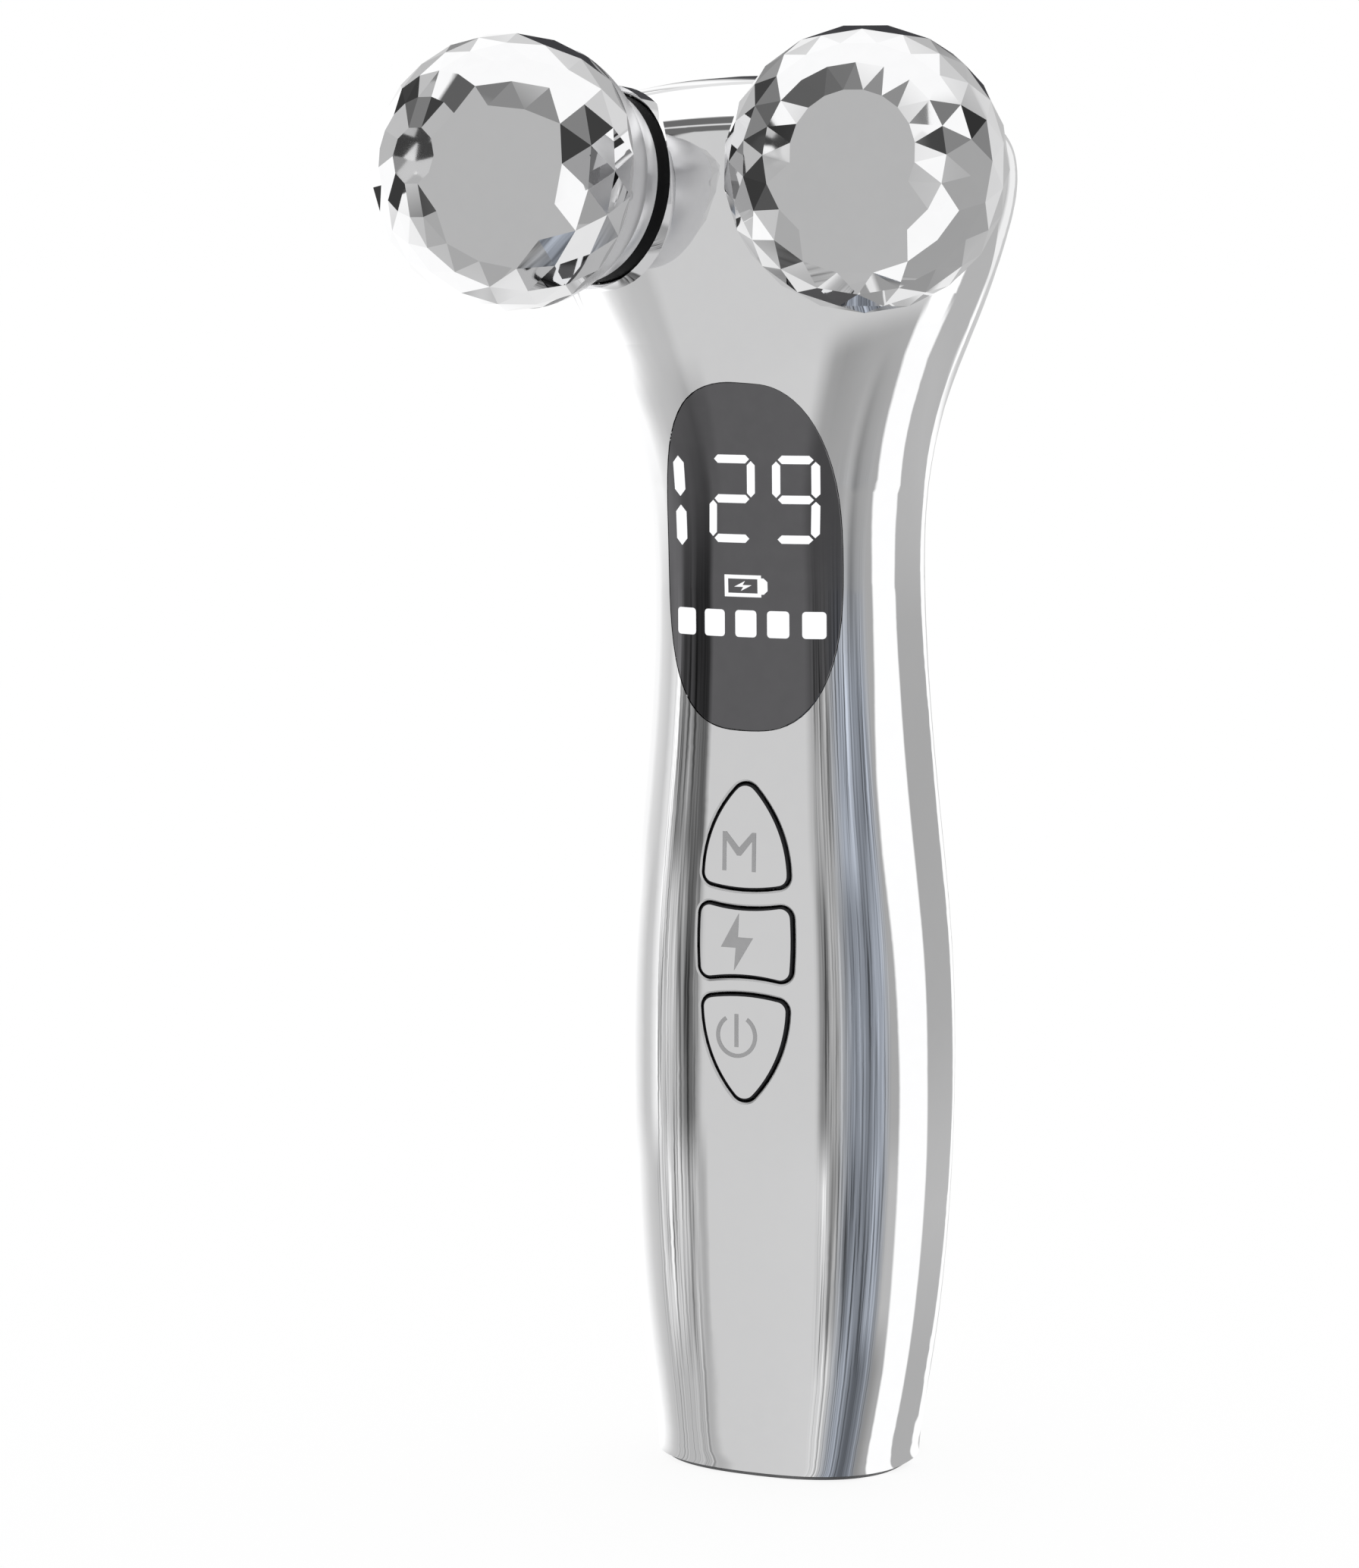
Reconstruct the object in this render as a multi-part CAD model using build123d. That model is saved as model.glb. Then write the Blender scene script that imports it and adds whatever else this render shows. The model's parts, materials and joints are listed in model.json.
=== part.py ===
from build123d import *

import os
from math import cos, pi, radians, sin, sqrt

# Facial toning device: a waisted chrome handle with two faceted rollers on its head.
# +Z runs up the handle, -Y is the front, and the origin is the centre of the base.
# All sizes are millimetres.

# ---- body ----
# Height, half width, half depth and centre Y of each station of the handle, neck and head.
BODY_STATIONS = [
    (0.6, 15.0, 12.0, 0.0),
    (12.0, 16.6, 12.5, 0.1),
    (24.0, 18.0, 13.0, 0.3),
    (44.0, 18.9, 13.3, 0.5),
    (60.0, 18.5, 13.2, 0.4),
    (75.0, 17.0, 12.8, 0.3),
    (88.0, 15.8, 12.2, 0.1),
    (101.0, 15.3, 11.8, -0.4),
    (112.0, 16.4, 11.8, -1.4),
    (122.0, 19.3, 12.0, -2.8),
    (132.0, 24.2, 12.2, -4.5),
    (140.0, 27.6, 12.3, -5.8),
]
SHOULDER = (147.0, 29.0, 12.3, -6.6)
BODY_TOP = 157.5
CROWN_ANGLES = (18, 34, 50, 63, 74, 82)
CROWN_ARCH = 2.4
SECTION_POINTS = 20
HANDLE_SQUARENESS = 2.4
HEAD_SQUARENESS = 2.0
SQUARE_UP_TO = 112.0

WALL = 1.8
CAVITY_GAP = 0.2

# ---- rollers ----
BALL_RADIUS = 15.0
BALL_X = 21.0
BALL_Y = -28.3
BALL_Z = 146.7
AXLE_SPREAD = 17.0
AXLE_RISE = 6.0
BALL_FOOT = 10.3
FACETS_ROUND = 20
FIRST_FACET_RING = 12.0
FACET_RING_STEP = 13.5
FACET_RINGS = 8
BALL_CAVITY_RADIUS = 13.0
HUB_RADIUS = 8.2
HUB_FLOOR = 1.5
HUB_TUBE_RADIUS = 4.4
HUB_TOP = 3.0
BUSH_RADIUS = 3.2
BUSH_LENGTH = 4.0
BUSH_FLANGE_RADIUS = 3.8
BUSH_FLANGE = 0.6
AXLE_RADIUS = 2.0
RUNNING_CLEARANCE = 0.04

SEAT_DEPTH = 13.35
SEAT_RADIUS = 11.4
SEAT_WALL = 2.2
RING_RADIUS = 10.5
RING_TOP_GAP = 0.3
RING_BORE = 3.4
AXLE_COLLAR_RADIUS = 3.1
AXLE_SHANK_RADIUS = 2.5
AXLE_SHANK_END = 22.5
AXLE_END = 28.0
AXLE_TIP = 4.8
CLIP_BOTTOM = 3.4
CLIP_THICKNESS = 0.5
CLIP_GROOVE_RADIUS = 1.5
CLIP_RADIUS = 3.3
NUT_ACROSS_FLATS = 7.0
NUT_HEIGHT = 2.6
CONTACT_THICKNESS = 0.4
CONTACT_RADIUS = 4.2
CONTACT_TAIL = 9.0
CONTACT_TAIL_HALF_WIDTH = 1.0
THREAD_GAP = 0.02
BRACKET_BOSS_RADIUS = 5.2
BRACKET_BOSS_GAP = 0.05

# ---- display window ----
WINDOW_CENTRE_Z = 104.5
WINDOW_HALF_HEIGHT = 19.4
WINDOW_HALF_WIDTH = 11.1
WINDOW_SQUARENESS = 2.35
WINDOW_POINTS = 24
LENS_THICKNESS = 1.4
GASKET_THICKNESS = 0.2
WINDOW_LEDGE = 1.2
WINDOW_PAD_MARGIN = 1.6
WINDOW_PAD_DEPTH = 3.0
WINDOW_GAP = 0.06

# ---- buttons ----
MODE_BOTTOM = 67.1
MODE_TOP = 79.2
LEVEL_BOTTOM = 56.6
LEVEL_TOP = 66.2
POWER_BOTTOM = 43.5
POWER_TOP = 55.8
BUTTON_HALF_WIDTH = 5.5
BUTTON_EDGE_BOW = 0.7
BUTTON_CORNER = 1.6
BUTTON_TIP_RADIUS = 1.9
BUTTON_GAP = 0.3
BUTTON_RIM_BEVEL = 0.2
WINDOW_RIM_BEVEL = 0.1
SKIN_TOLERANCE = 0.01
BUTTON_EAR_X = 5.4
BUTTON_EAR_WIDTH = 2.2
BUTTON_EAR_HEIGHT = 4.0
BUTTON_EAR_THICKNESS = 0.8
BUTTON_REST_GAP = 0.1
BUTTON_STUB_RADIUS = 1.6
BUTTON_STUB_LENGTH = 1.6
BUTTON_STUB_Y = -9.4
ARCH_BELLY = 0.86
ARCH_OVERSHOOT = 1.0
LEVEL_EXTRA_WIDTH = 0.3
SIDE_BOW = 0.25
BUTTON_CENTRES = {"mode": 72.0, "level": 61.4, "power": 50.8}

# ---- inside ----
BOARD_FRONT = -5.2
BOARD_THICKNESS = 1.2
BOARD_HALF_WIDTH = 10.0
BOARD_BOTTOM = 39.0
BOARD_TOP = 124.0
KEYPAD_FACE = -8.1
KEYPAD_SHEET = 0.8
KEYPAD_PAD_TOP = -8.8
KEYPAD_HALF_WIDTH = 6.3
KEYPAD_WALL = 1.0
SWITCH_SIZE = 4.5
SWITCH_BODY = 1.6
DISPLAY_HALF_WIDTH = 8.0
DISPLAY_BEVEL = 0.5
DISPLAY_BOTTOM = 93.0
DISPLAY_TOP = 118.0
DISPLAY_FACE = -7.9
COIL_RADIUS = 3.2
COIL_HEIGHT = 4.0
COIL_Z = 88.0
BATTERY_RADIUS = 7.0
BATTERY_LENGTH = 49.0
BATTERY_BOTTOM = 12.8
BATTERY_Y = 3.2
CELL_TIP = 1.0
CRADLE_WALL = 1.2
CRADLE_OPENING = 4.6
CRADLE_CUP_HEIGHT = 6.0
CRADLE_BOARD_GAP = 0.2
SCREW_RADIUS = 0.8
SCREW_HEAD_RADIUS = 1.5
SCREW_HEAD_HEIGHT = 1.0
SCREW_LENGTH = 4.2
BOSS_RADIUS = 1.8
BOARD_SCREW_X = 8.1
BOARD_SCREW_HEIGHTS = (41.2, 80.6)
PILOT_GAP = 0.02
BRACKET_FRONT = -9.0
BRACKET_THICKNESS = 2.4
BRACKET_PLATE_HALF_WIDTH = 11.5
BRACKET_PLATE_BOTTOM = 130.5
BRACKET_PLATE_TOP = 141.0
BRACKET_BAR_HALF_WIDTH = 17.0
BRACKET_BAR_BOTTOM = 139.0
BRACKET_BAR_TOP = 149.5
BRACKET_SCREW_X = 8.0
BRACKET_SCREW_Z = 134.0

REAR_RIB_HEIGHTS = (118.0, 132.0)
REAR_RIB_WALL = 1.2
REAR_RIB_FRONT = 4.0

# ---- inner leads ----
LEAD_RADIUS = 0.4
LEAD_BEND = 2.6
ELECTRODE_LEAD_START = 8.0
ELECTRODE_LEAD_RISE = 3.5
ELECTRODE_LEAD_X = 8.0
ELECTRODE_LEAD_Y = -0.8
ELECTRODE_LEAD_TURN_Z = 127.0
ELECTRODE_LEAD_END_Z = 119.0
CELL_LEAD_HEIGHT = 69.0
CAN_LEAD_X = 4.6
CAN_LEAD_HEIGHT = 66.5
CHARGE_LEAD_X = 3.0
CHARGE_LEAD_Z = 9.5

# ---- base ----
BASE_RIM = 0.6
BASE_INSET = 0.9
BASE_FLOOR = 2.0
BASE_SKIRT_TOP = 5.0
BASE_SKIRT_WALL = 1.4
SOCKET_HALF_WIDTH = 4.5
SOCKET_RADIUS = 1.6
SOCKET_WALL = 0.3
SOCKET_BOTTOM = 0.3
SOCKET_LENGTH = 7.4
SOCKET_CLEARANCE = 0.2
TONGUE_HALF_WIDTH = 3.3
TONGUE_HALF_THICKNESS = 0.35
TONGUE_TIP = 0.8
BOARD_POST_GAP = 0.05
BOARD_POST_WIDTH = 1.35
BOARD_POST_MARGIN = 0.8
CHARGE_BOARD_HALF_WIDTH = 7.5
CHARGE_BOARD_BOTTOM = 2.2
CHARGE_BOARD_TOP = 11.2

# ---- reach of construction solids ----
SEAM_REACH = 12.0
FRONT_REACH = 40.0
SIDE_REACH = 45.0
SEAT_REACH = 8.0
FROM_FLOOR = (Align.CENTER, Align.CENTER, Align.MIN)


def signed_power(value, exponent):
    """Raise a value's size to a power and keep its sign."""
    return abs(value) ** exponent * (1 if value >= 0 else -1)


def oval_points(half_width, half_depth, squareness, count):
    """Points round a superellipse from its far side; above 2 it is squarer than an ellipse."""
    points = []
    for step in range(count):
        turn = pi / 2 + 2 * pi * step / count
        across = half_width * signed_power(cos(turn), 2 / squareness)
        along = half_depth * signed_power(sin(turn), 2 / squareness)
        points.append((across, along))
    return points


def body_section(height, half_width, half_depth, centre_y):
    """One level section of the body, squarer in the handle than in the head."""
    squareness = HANDLE_SQUARENESS if height < SQUARE_UP_TO else HEAD_SQUARENESS + 0.15
    if height > SHOULDER[0]:
        squareness = HEAD_SQUARENESS
    outline = oval_points(half_width, half_depth, squareness, SECTION_POINTS)
    corners = [(x, y + centre_y, height) for x, y in outline]
    return Face(Wire([Edge.make_spline(corners, periodic=True)]))


def body(inset=0.0, foot=None):
    """The body's whole outer form, or the same form set in by a wall."""
    sections = []
    if foot is not None:
        first = BODY_STATIONS[0]
        sections.append(body_section(foot, first[1] - inset, first[2] - inset, first[3]))
    for height, half_width, half_depth, centre_y in BODY_STATIONS + [SHOULDER]:
        sections.append(body_section(height, half_width - inset, half_depth - inset, centre_y))
    shoulder_z, half_width, half_depth, centre_y = SHOULDER
    rise = BODY_TOP - inset - shoulder_z
    for angle in CROWN_ANGLES:
        level = sin(radians(angle))
        width = (half_width - inset) * sqrt(1 - level ** CROWN_ARCH)
        depth = (half_depth - inset) * sqrt(1 - level ** 2)
        sections.append(body_section(shoulder_z + rise * level, width, depth, centre_y))
    return loft(sections)


# ---- helpers ----

def seam_face():
    """Everything in front of the side seam, which follows the body's centre line."""
    line = [(centre_y, height) for height, width, depth, centre_y in BODY_STATIONS + [SHOULDER]]
    start = (line[0][0], -SEAM_REACH)
    end = (line[-1][0], BODY_TOP + SEAM_REACH)
    edges = [
        Line(start, line[0]),
        Spline(*line, tangents=[(0, 1), (0, 1)]),
        Line(line[-1], end),
        Line(end, (-FRONT_REACH, end[1])),
        Line((-FRONT_REACH, end[1]), (-FRONT_REACH, start[1])),
        Line((-FRONT_REACH, start[1]), start),
    ]
    return Plane.YZ * make_face(edges)


def front_region():
    """A block that holds the front half of the body."""
    return extrude(seam_face(), amount=SIDE_REACH, both=True)


def front_prism(outline):
    """Push an outline drawn on the front view forward from the middle of the body."""
    return extrude(Plane.XZ * outline, amount=FRONT_REACH)


def skin(outer_inset, inner_inset):
    """The layer between two insets of the body."""
    return BODIES[outer_inset] - BODIES[inner_inset]


def cylinder_along_y(radius, x, z, front, back):
    """A round bar that runs from front to back."""
    bar = Pos(x, front, z) * Rot(-90, 0, 0) * Cylinder(radius, back - front, align=FROM_FLOOR)
    return bar


def block(low, high):
    """A box between two corners."""
    size = [high[axis] - low[axis] for axis in range(3)]
    middle = [(high[axis] + low[axis]) / 2 for axis in range(3)]
    return Pos(*middle) * Box(*size)


def turned(profile):
    """A solid of revolution from (radius, height) corners."""
    edges = Polyline(*profile, close=True)
    return revolve(Plane.XZ * make_face(edges), Axis.Z)


# ---- outlines of the window and the buttons ----

def window_outline(inset=0.0):
    """The oval of the display window, smaller by an inset."""
    points = oval_points(
        WINDOW_HALF_WIDTH - inset, WINDOW_HALF_HEIGHT - inset, WINDOW_SQUARENESS, WINDOW_POINTS)
    corners = [(x, z + WINDOW_CENTRE_Z) for x, z in points]
    return make_face(Spline(*corners, periodic=True))


def arch_outline(wide_end, tip):
    """A rounded arch that is widest at one end and comes to a soft tip at the other."""
    up = 1 if tip > wide_end else -1
    shoulder = wide_end + up * BUTTON_EDGE_BOW
    belly = wide_end + 0.52 * (tip - wide_end)
    half = BUTTON_HALF_WIDTH
    edges = [
        ThreePointArc((-half, shoulder), (0, wide_end), (half, shoulder)),
        ThreePointArc((half, shoulder), (ARCH_BELLY * half, belly), (0, tip + up * ARCH_OVERSHOOT)),
        ThreePointArc((0, tip + up * ARCH_OVERSHOOT), (-ARCH_BELLY * half, belly), (-half, shoulder)),
    ]
    face = make_face(edges)
    sharp_tip = face.vertices().sort_by(Axis.Y)[-1 if up > 0 else 0]
    face = fillet(sharp_tip, BUTTON_TIP_RADIUS)
    wide_corners = [corner for corner in face.vertices() if abs(corner.X) > BUTTON_HALF_WIDTH - 0.1]
    return fillet(wide_corners, BUTTON_CORNER)


def block_outline(inset=0.0):
    """A rounded square with hollow top and bottom edges, smaller by an inset."""
    half = BUTTON_HALF_WIDTH + LEVEL_EXTRA_WIDTH - inset
    bottom = LEVEL_BOTTOM + inset
    top = LEVEL_TOP - inset
    middle = (bottom + top) / 2
    edges = [
        ThreePointArc((-half, bottom), (0, bottom + BUTTON_EDGE_BOW), (half, bottom)),
        ThreePointArc((half, bottom), (half + SIDE_BOW, middle), (half, top)),
        ThreePointArc((half, top), (0, top - BUTTON_EDGE_BOW), (-half, top)),
        ThreePointArc((-half, top), (-half - SIDE_BOW, middle), (-half, bottom)),
    ]
    return fillet(make_face(edges).vertices(), BUTTON_CORNER - inset)


def hole_outlines():
    """The three button holes of the front shell by button name."""
    return {
        "mode": arch_outline(MODE_BOTTOM, MODE_TOP),
        "level": block_outline(),
        "power": arch_outline(POWER_TOP, POWER_BOTTOM),
    }


def cap_outlines():
    """The three button caps, smaller than their holes by the gap."""
    return {
        "mode": offset(arch_outline(MODE_BOTTOM, MODE_TOP), -BUTTON_GAP),
        "level": block_outline(BUTTON_GAP),
        "power": offset(arch_outline(POWER_TOP, POWER_BOTTOM), -BUTTON_GAP),
    }


# ---- rollers: drawn with the axle along +Z and the ball's centre at the origin ----

def roller_place(side):
    """Where a roller's own frame lies on the device; side is -1 on the left and 1 on the right."""
    spread = radians(AXLE_SPREAD)
    rise = radians(AXLE_RISE)
    outward = (side * sin(spread) * cos(rise), -cos(spread) * cos(rise), sin(rise))
    across = (cos(spread), side * sin(spread), 0)
    return Plane((side * BALL_X, BALL_Y, BALL_Z), x_dir=across, z_dir=outward).location


def facet_corner(ring, step):
    """A corner of the cut pattern; odd rings are turned by half a facet."""
    polar = radians(FIRST_FACET_RING + FACET_RING_STEP * ring)
    turn = 2 * pi * (step + 0.5 * (ring % 2)) / FACETS_ROUND
    radius = BALL_RADIUS * sin(polar)
    return Vector(radius * cos(turn), radius * sin(turn), BALL_RADIUS * cos(polar))


def flat_face(corners):
    """A flat facet through its corners."""
    return Face(Wire.make_polygon(corners, close=True))


def table_facets():
    """The ten-sided table at the ball's pole and the kites and triangles round it."""
    facets = [flat_face([facet_corner(0, step) for step in range(0, FACETS_ROUND, 2)])]
    for step in range(0, FACETS_ROUND, 2):
        before = facet_corner(1, step - 1)
        here = facet_corner(1, step)
        after = facet_corner(1, step + 1)
        facets.append(flat_face([facet_corner(0, step), before, here]))
        facets.append(flat_face([facet_corner(0, step), here, after, facet_corner(0, step + 2)]))
    return facets


def ring_facets(ring):
    """The triangles between one ring of corners and the next."""
    lead = ring % 2
    facets = []
    for step in range(FACETS_ROUND):
        here = facet_corner(ring, step)
        beside = facet_corner(ring, step + 1)
        below = facet_corner(ring + 1, step + lead)
        below_before = facet_corner(ring + 1, step + lead - 1)
        facets.append(flat_face([here, beside, below]))
        facets.append(flat_face([below_before, below, here]))
    return facets


def faceted_dome():
    """The cut part of a roller, closed by a flat face at its last ring."""
    last = FACET_RINGS - 1
    facets = table_facets()
    for ring in range(1, last):
        facets += ring_facets(ring)
    facets.append(flat_face([facet_corner(last, step) for step in range(FACETS_ROUND)]))
    return Solid(Shell(facets))


def make_ball():
    """A hollow roller: cut facets, a smooth band at the foot and an open foot."""
    last_ring_z = facet_corner(FACET_RINGS - 1, 0).Z
    band_height = BALL_FOOT + last_ring_z
    band = Sphere(BALL_RADIUS) & (Pos(0, 0, -BALL_FOOT) * Cylinder(
        2 * BALL_RADIUS, band_height, align=FROM_FLOOR))
    foot_web = Pos(0, 0, HUB_FLOOR - BALL_FOOT) * Cylinder(
        BALL_RADIUS, 2 * BALL_RADIUS, align=FROM_FLOOR)
    cavity = Sphere(BALL_CAVITY_RADIUS) & foot_web
    mouth = Pos(0, 0, -BALL_FOOT - 1) * Cylinder(HUB_RADIUS, HUB_FLOOR + 1, align=FROM_FLOOR)
    return faceted_dome() + band - cavity - mouth


def make_ball_hub():
    """The plug in the ball's foot, with the tube that carries both bushes."""
    floor = -BALL_FOOT
    return turned([
        (BUSH_FLANGE_RADIUS, floor),
        (HUB_RADIUS, floor),
        (HUB_RADIUS, floor + HUB_FLOOR),
        (HUB_TUBE_RADIUS, floor + HUB_FLOOR + 1),
        (HUB_TUBE_RADIUS, HUB_TOP),
        (BUSH_FLANGE_RADIUS, HUB_TOP),
        (BUSH_FLANGE_RADIUS, HUB_TOP - BUSH_FLANGE),
        (BUSH_RADIUS, HUB_TOP - BUSH_FLANGE),
        (BUSH_RADIUS, floor + BUSH_FLANGE),
        (BUSH_FLANGE_RADIUS, floor + BUSH_FLANGE),
    ])


def make_bush():
    """One flanged bush, standing on its flange."""
    bore = AXLE_RADIUS + RUNNING_CLEARANCE
    return turned([
        (bore, 0),
        (BUSH_FLANGE_RADIUS, 0),
        (BUSH_FLANGE_RADIUS, BUSH_FLANGE),
        (BUSH_RADIUS, BUSH_FLANGE),
        (BUSH_RADIUS, BUSH_LENGTH),
        (bore, BUSH_LENGTH),
    ])


def make_ball_bushes():
    """The bush at the ball's foot and the one at the hub's inner end."""
    outer = Pos(0, 0, -BALL_FOOT) * make_bush()
    inner = Pos(0, 0, HUB_TOP) * Rot(180, 0, 0) * make_bush()
    return Compound([outer, inner])


def make_seal_ring():
    """The black ring between the seat and the ball, with a bevelled upper edge."""
    top = -BALL_FOOT - RING_TOP_GAP
    return turned([
        (RING_BORE, -SEAT_DEPTH),
        (RING_RADIUS, -SEAT_DEPTH),
        (RING_RADIUS, top - 0.4),
        (RING_RADIUS - 0.4, top),
        (RING_BORE, top),
    ])


def make_axle():
    """The steel pin: clip groove, running length, thrust collar, shank and threaded end."""
    collar_top = -BALL_FOOT - RING_TOP_GAP
    return turned([
        (0, AXLE_TIP),
        (AXLE_RADIUS - 0.4, AXLE_TIP),
        (AXLE_RADIUS, AXLE_TIP - 0.4),
        (AXLE_RADIUS, CLIP_BOTTOM + CLIP_THICKNESS),
        (CLIP_GROOVE_RADIUS, CLIP_BOTTOM + CLIP_THICKNESS),
        (CLIP_GROOVE_RADIUS, CLIP_BOTTOM),
        (AXLE_RADIUS, CLIP_BOTTOM),
        (AXLE_RADIUS, collar_top),
        (AXLE_COLLAR_RADIUS, collar_top),
        (AXLE_COLLAR_RADIUS, -SEAT_DEPTH),
        (AXLE_SHANK_RADIUS, -SEAT_DEPTH),
        (AXLE_SHANK_RADIUS, -AXLE_SHANK_END),
        (AXLE_RADIUS, -AXLE_SHANK_END),
        (AXLE_RADIUS, 0.4 - AXLE_END),
        (AXLE_RADIUS - 0.4, -AXLE_END),
        (0, -AXLE_END),
    ])


def make_retaining_clip():
    """An open spring clip in the axle's groove."""
    washer = Cylinder(CLIP_RADIUS, CLIP_THICKNESS, align=FROM_FLOOR)
    washer -= Cylinder(CLIP_GROOVE_RADIUS, CLIP_THICKNESS, align=FROM_FLOOR)
    mouth = block((-1.2, 0, 0), (1.2, CLIP_RADIUS + 1, CLIP_THICKNESS))
    return Pos(0, 0, CLIP_BOTTOM) * (washer - mouth)


def make_axle_nut():
    """The hexagon nut behind the bracket."""
    across_corners = NUT_ACROSS_FLATS / sqrt(3)
    blank = extrude(RegularPolygon(across_corners, 6), amount=NUT_HEIGHT)
    nut = blank - Cylinder(AXLE_RADIUS + THREAD_GAP, NUT_HEIGHT, align=FROM_FLOOR)
    return Pos(0, 0, -AXLE_SHANK_END - CONTACT_THICKNESS - NUT_HEIGHT) * nut


def make_axle_contact():
    """The brass tag clamped under the nut, with a tail that points down to the board."""
    washer = Cylinder(CONTACT_RADIUS, CONTACT_THICKNESS, align=FROM_FLOOR)
    half = CONTACT_TAIL_HALF_WIDTH
    tail = block((-half, -CONTACT_TAIL, 0), (half, 0, CONTACT_THICKNESS))
    hole = Cylinder(AXLE_RADIUS + THREAD_GAP, CONTACT_THICKNESS, align=FROM_FLOOR)
    return Pos(0, 0, -AXLE_SHANK_END - CONTACT_THICKNESS) * (washer + tail - hole)


# ---- shells, window and buttons ----

def seat_blank(side):
    """The round flat seat that a roller's ring sits on."""
    seat = Pos(0, 0, -SEAT_DEPTH - SEAT_WALL) * Cylinder(SEAT_RADIUS, SEAT_WALL, align=FROM_FLOOR)
    return roller_place(side) * seat


def seat_cutter(side):
    """What is cut away in front of a seat, and the hole for the axle."""
    front = Pos(0, 0, -SEAT_DEPTH) * Cylinder(SEAT_RADIUS, 2 * BALL_RADIUS, align=FROM_FLOOR)
    hole = Pos(0, 0, -SEAT_DEPTH - SEAT_REACH) * Cylinder(
        AXLE_SHANK_RADIUS + 0.4, SEAT_REACH, align=FROM_FLOOR)
    return roller_place(side) * (front + hole)


def screw_places():
    """The four board screws in the front view."""
    return [(side * BOARD_SCREW_X, z) for z in BOARD_SCREW_HEIGHTS for side in (-1, 1)]


def bevel_rim(piece, outline, bevel):
    """Bevel the edges where an outline's walls meet the body's outer surface."""
    box = outline.bounding_box()
    rim = []
    for edge in piece.edges():
        middle = edge @ 0.5
        across = box.min.X - bevel < middle.X < box.max.X + bevel
        along = box.min.Y - bevel < middle.Z < box.max.Y + bevel
        if across and along and middle.Y < BOARD_FRONT:
            depth = min(face.distance_to(Vertex(*middle)) for face in BODIES[0.0].faces())
            if depth < SKIN_TOLERANCE:
                rim.append(edge)
    return chamfer(rim, bevel)


def make_front_shell(front):
    """The front half: seats, window pocket, button holes and screw bosses."""
    shell = skin(0.0, WALL) & front
    for side in (-1, 1):
        shell = shell + (seat_blank(side) & front)
        shell = shell - seat_cutter(side)
    shell += skin(WALL / 2, WINDOW_PAD_DEPTH) & front_prism(window_outline(-WINDOW_PAD_MARGIN))
    pocket_floor = LENS_THICKNESS + GASKET_THICKNESS
    shell -= front_prism(window_outline()) - BODIES[pocket_floor]
    shell -= front_prism(window_outline(WINDOW_LEDGE))
    for outline in hole_outlines().values():
        shell -= front_prism(outline)
    for x, z in screw_places():
        post = cylinder_along_y(BOSS_RADIUS, x, z, -FRONT_REACH / 2, BOARD_FRONT) & BODIES[WALL / 2]
        pilot = cylinder_along_y(SCREW_RADIUS + PILOT_GAP, x, z, BOARD_FRONT - SCREW_LENGTH, BOARD_FRONT)
        shell += post - pilot
    for side in (-1, 1):
        x = side * BRACKET_SCREW_X
        z = BRACKET_SCREW_Z
        post = cylinder_along_y(BOSS_RADIUS + 0.4, x, z, -FRONT_REACH, BRACKET_FRONT) & BODIES[WALL / 2]
        tip = BRACKET_FRONT - SCREW_LENGTH
        pilot = cylinder_along_y(SCREW_RADIUS + PILOT_GAP, x, z, tip, BRACKET_FRONT)
        shell += post - pilot
    for outline in hole_outlines().values():
        shell = bevel_rim(shell, outline, BUTTON_RIM_BEVEL)
    return shell


def make_rear_shell(front):
    """The rear half, a plain wall with two stiffening ribs across the head."""
    shell = skin(0.0, WALL) - front
    for z in REAR_RIB_HEIGHTS:
        rib = block((-SIDE_REACH, REAR_RIB_FRONT, z), (SIDE_REACH, FRONT_REACH, z + REAR_RIB_WALL))
        shell += rib & BODIES[WALL / 2]
    return shell


def make_display_window():
    """The smoked lens, flush with the body's own curve, with a fine bevel round its rim."""
    outline = window_outline(WINDOW_GAP)
    lens = skin(0.0, LENS_THICKNESS) & front_prism(outline)
    return bevel_rim(lens, outline, WINDOW_RIM_BEVEL)


def make_window_gasket():
    """The thin seal on the ledge under the lens."""
    ring = front_prism(window_outline(WINDOW_GAP)) - front_prism(window_outline(WINDOW_LEDGE))
    return skin(LENS_THICKNESS, LENS_THICKNESS + GASKET_THICKNESS) & ring


def make_button(outline, middle_z):
    """A chrome cap, flush with the body, with two ears behind the shell and a short stub."""
    ear_inset = WALL + BUTTON_REST_GAP
    back_inset = ear_inset + BUTTON_EAR_THICKNESS
    cap = (BODIES[0.0] & front_prism(outline)) - BODIES[back_inset]
    cap = bevel_rim(cap, outline, BUTTON_RIM_BEVEL)
    for side in (-1, 1):
        ear = Pos(side * BUTTON_EAR_X, middle_z) * Rectangle(BUTTON_EAR_WIDTH, BUTTON_EAR_HEIGHT)
        cap += (BODIES[ear_inset] & front_prism(ear)) - BODIES[back_inset]
    stub_front = BUTTON_STUB_Y - BUTTON_STUB_LENGTH
    return cap + cylinder_along_y(BUTTON_STUB_RADIUS, 0, middle_z, stub_front, BUTTON_STUB_Y)


# ---- inside the handle ----

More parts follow.
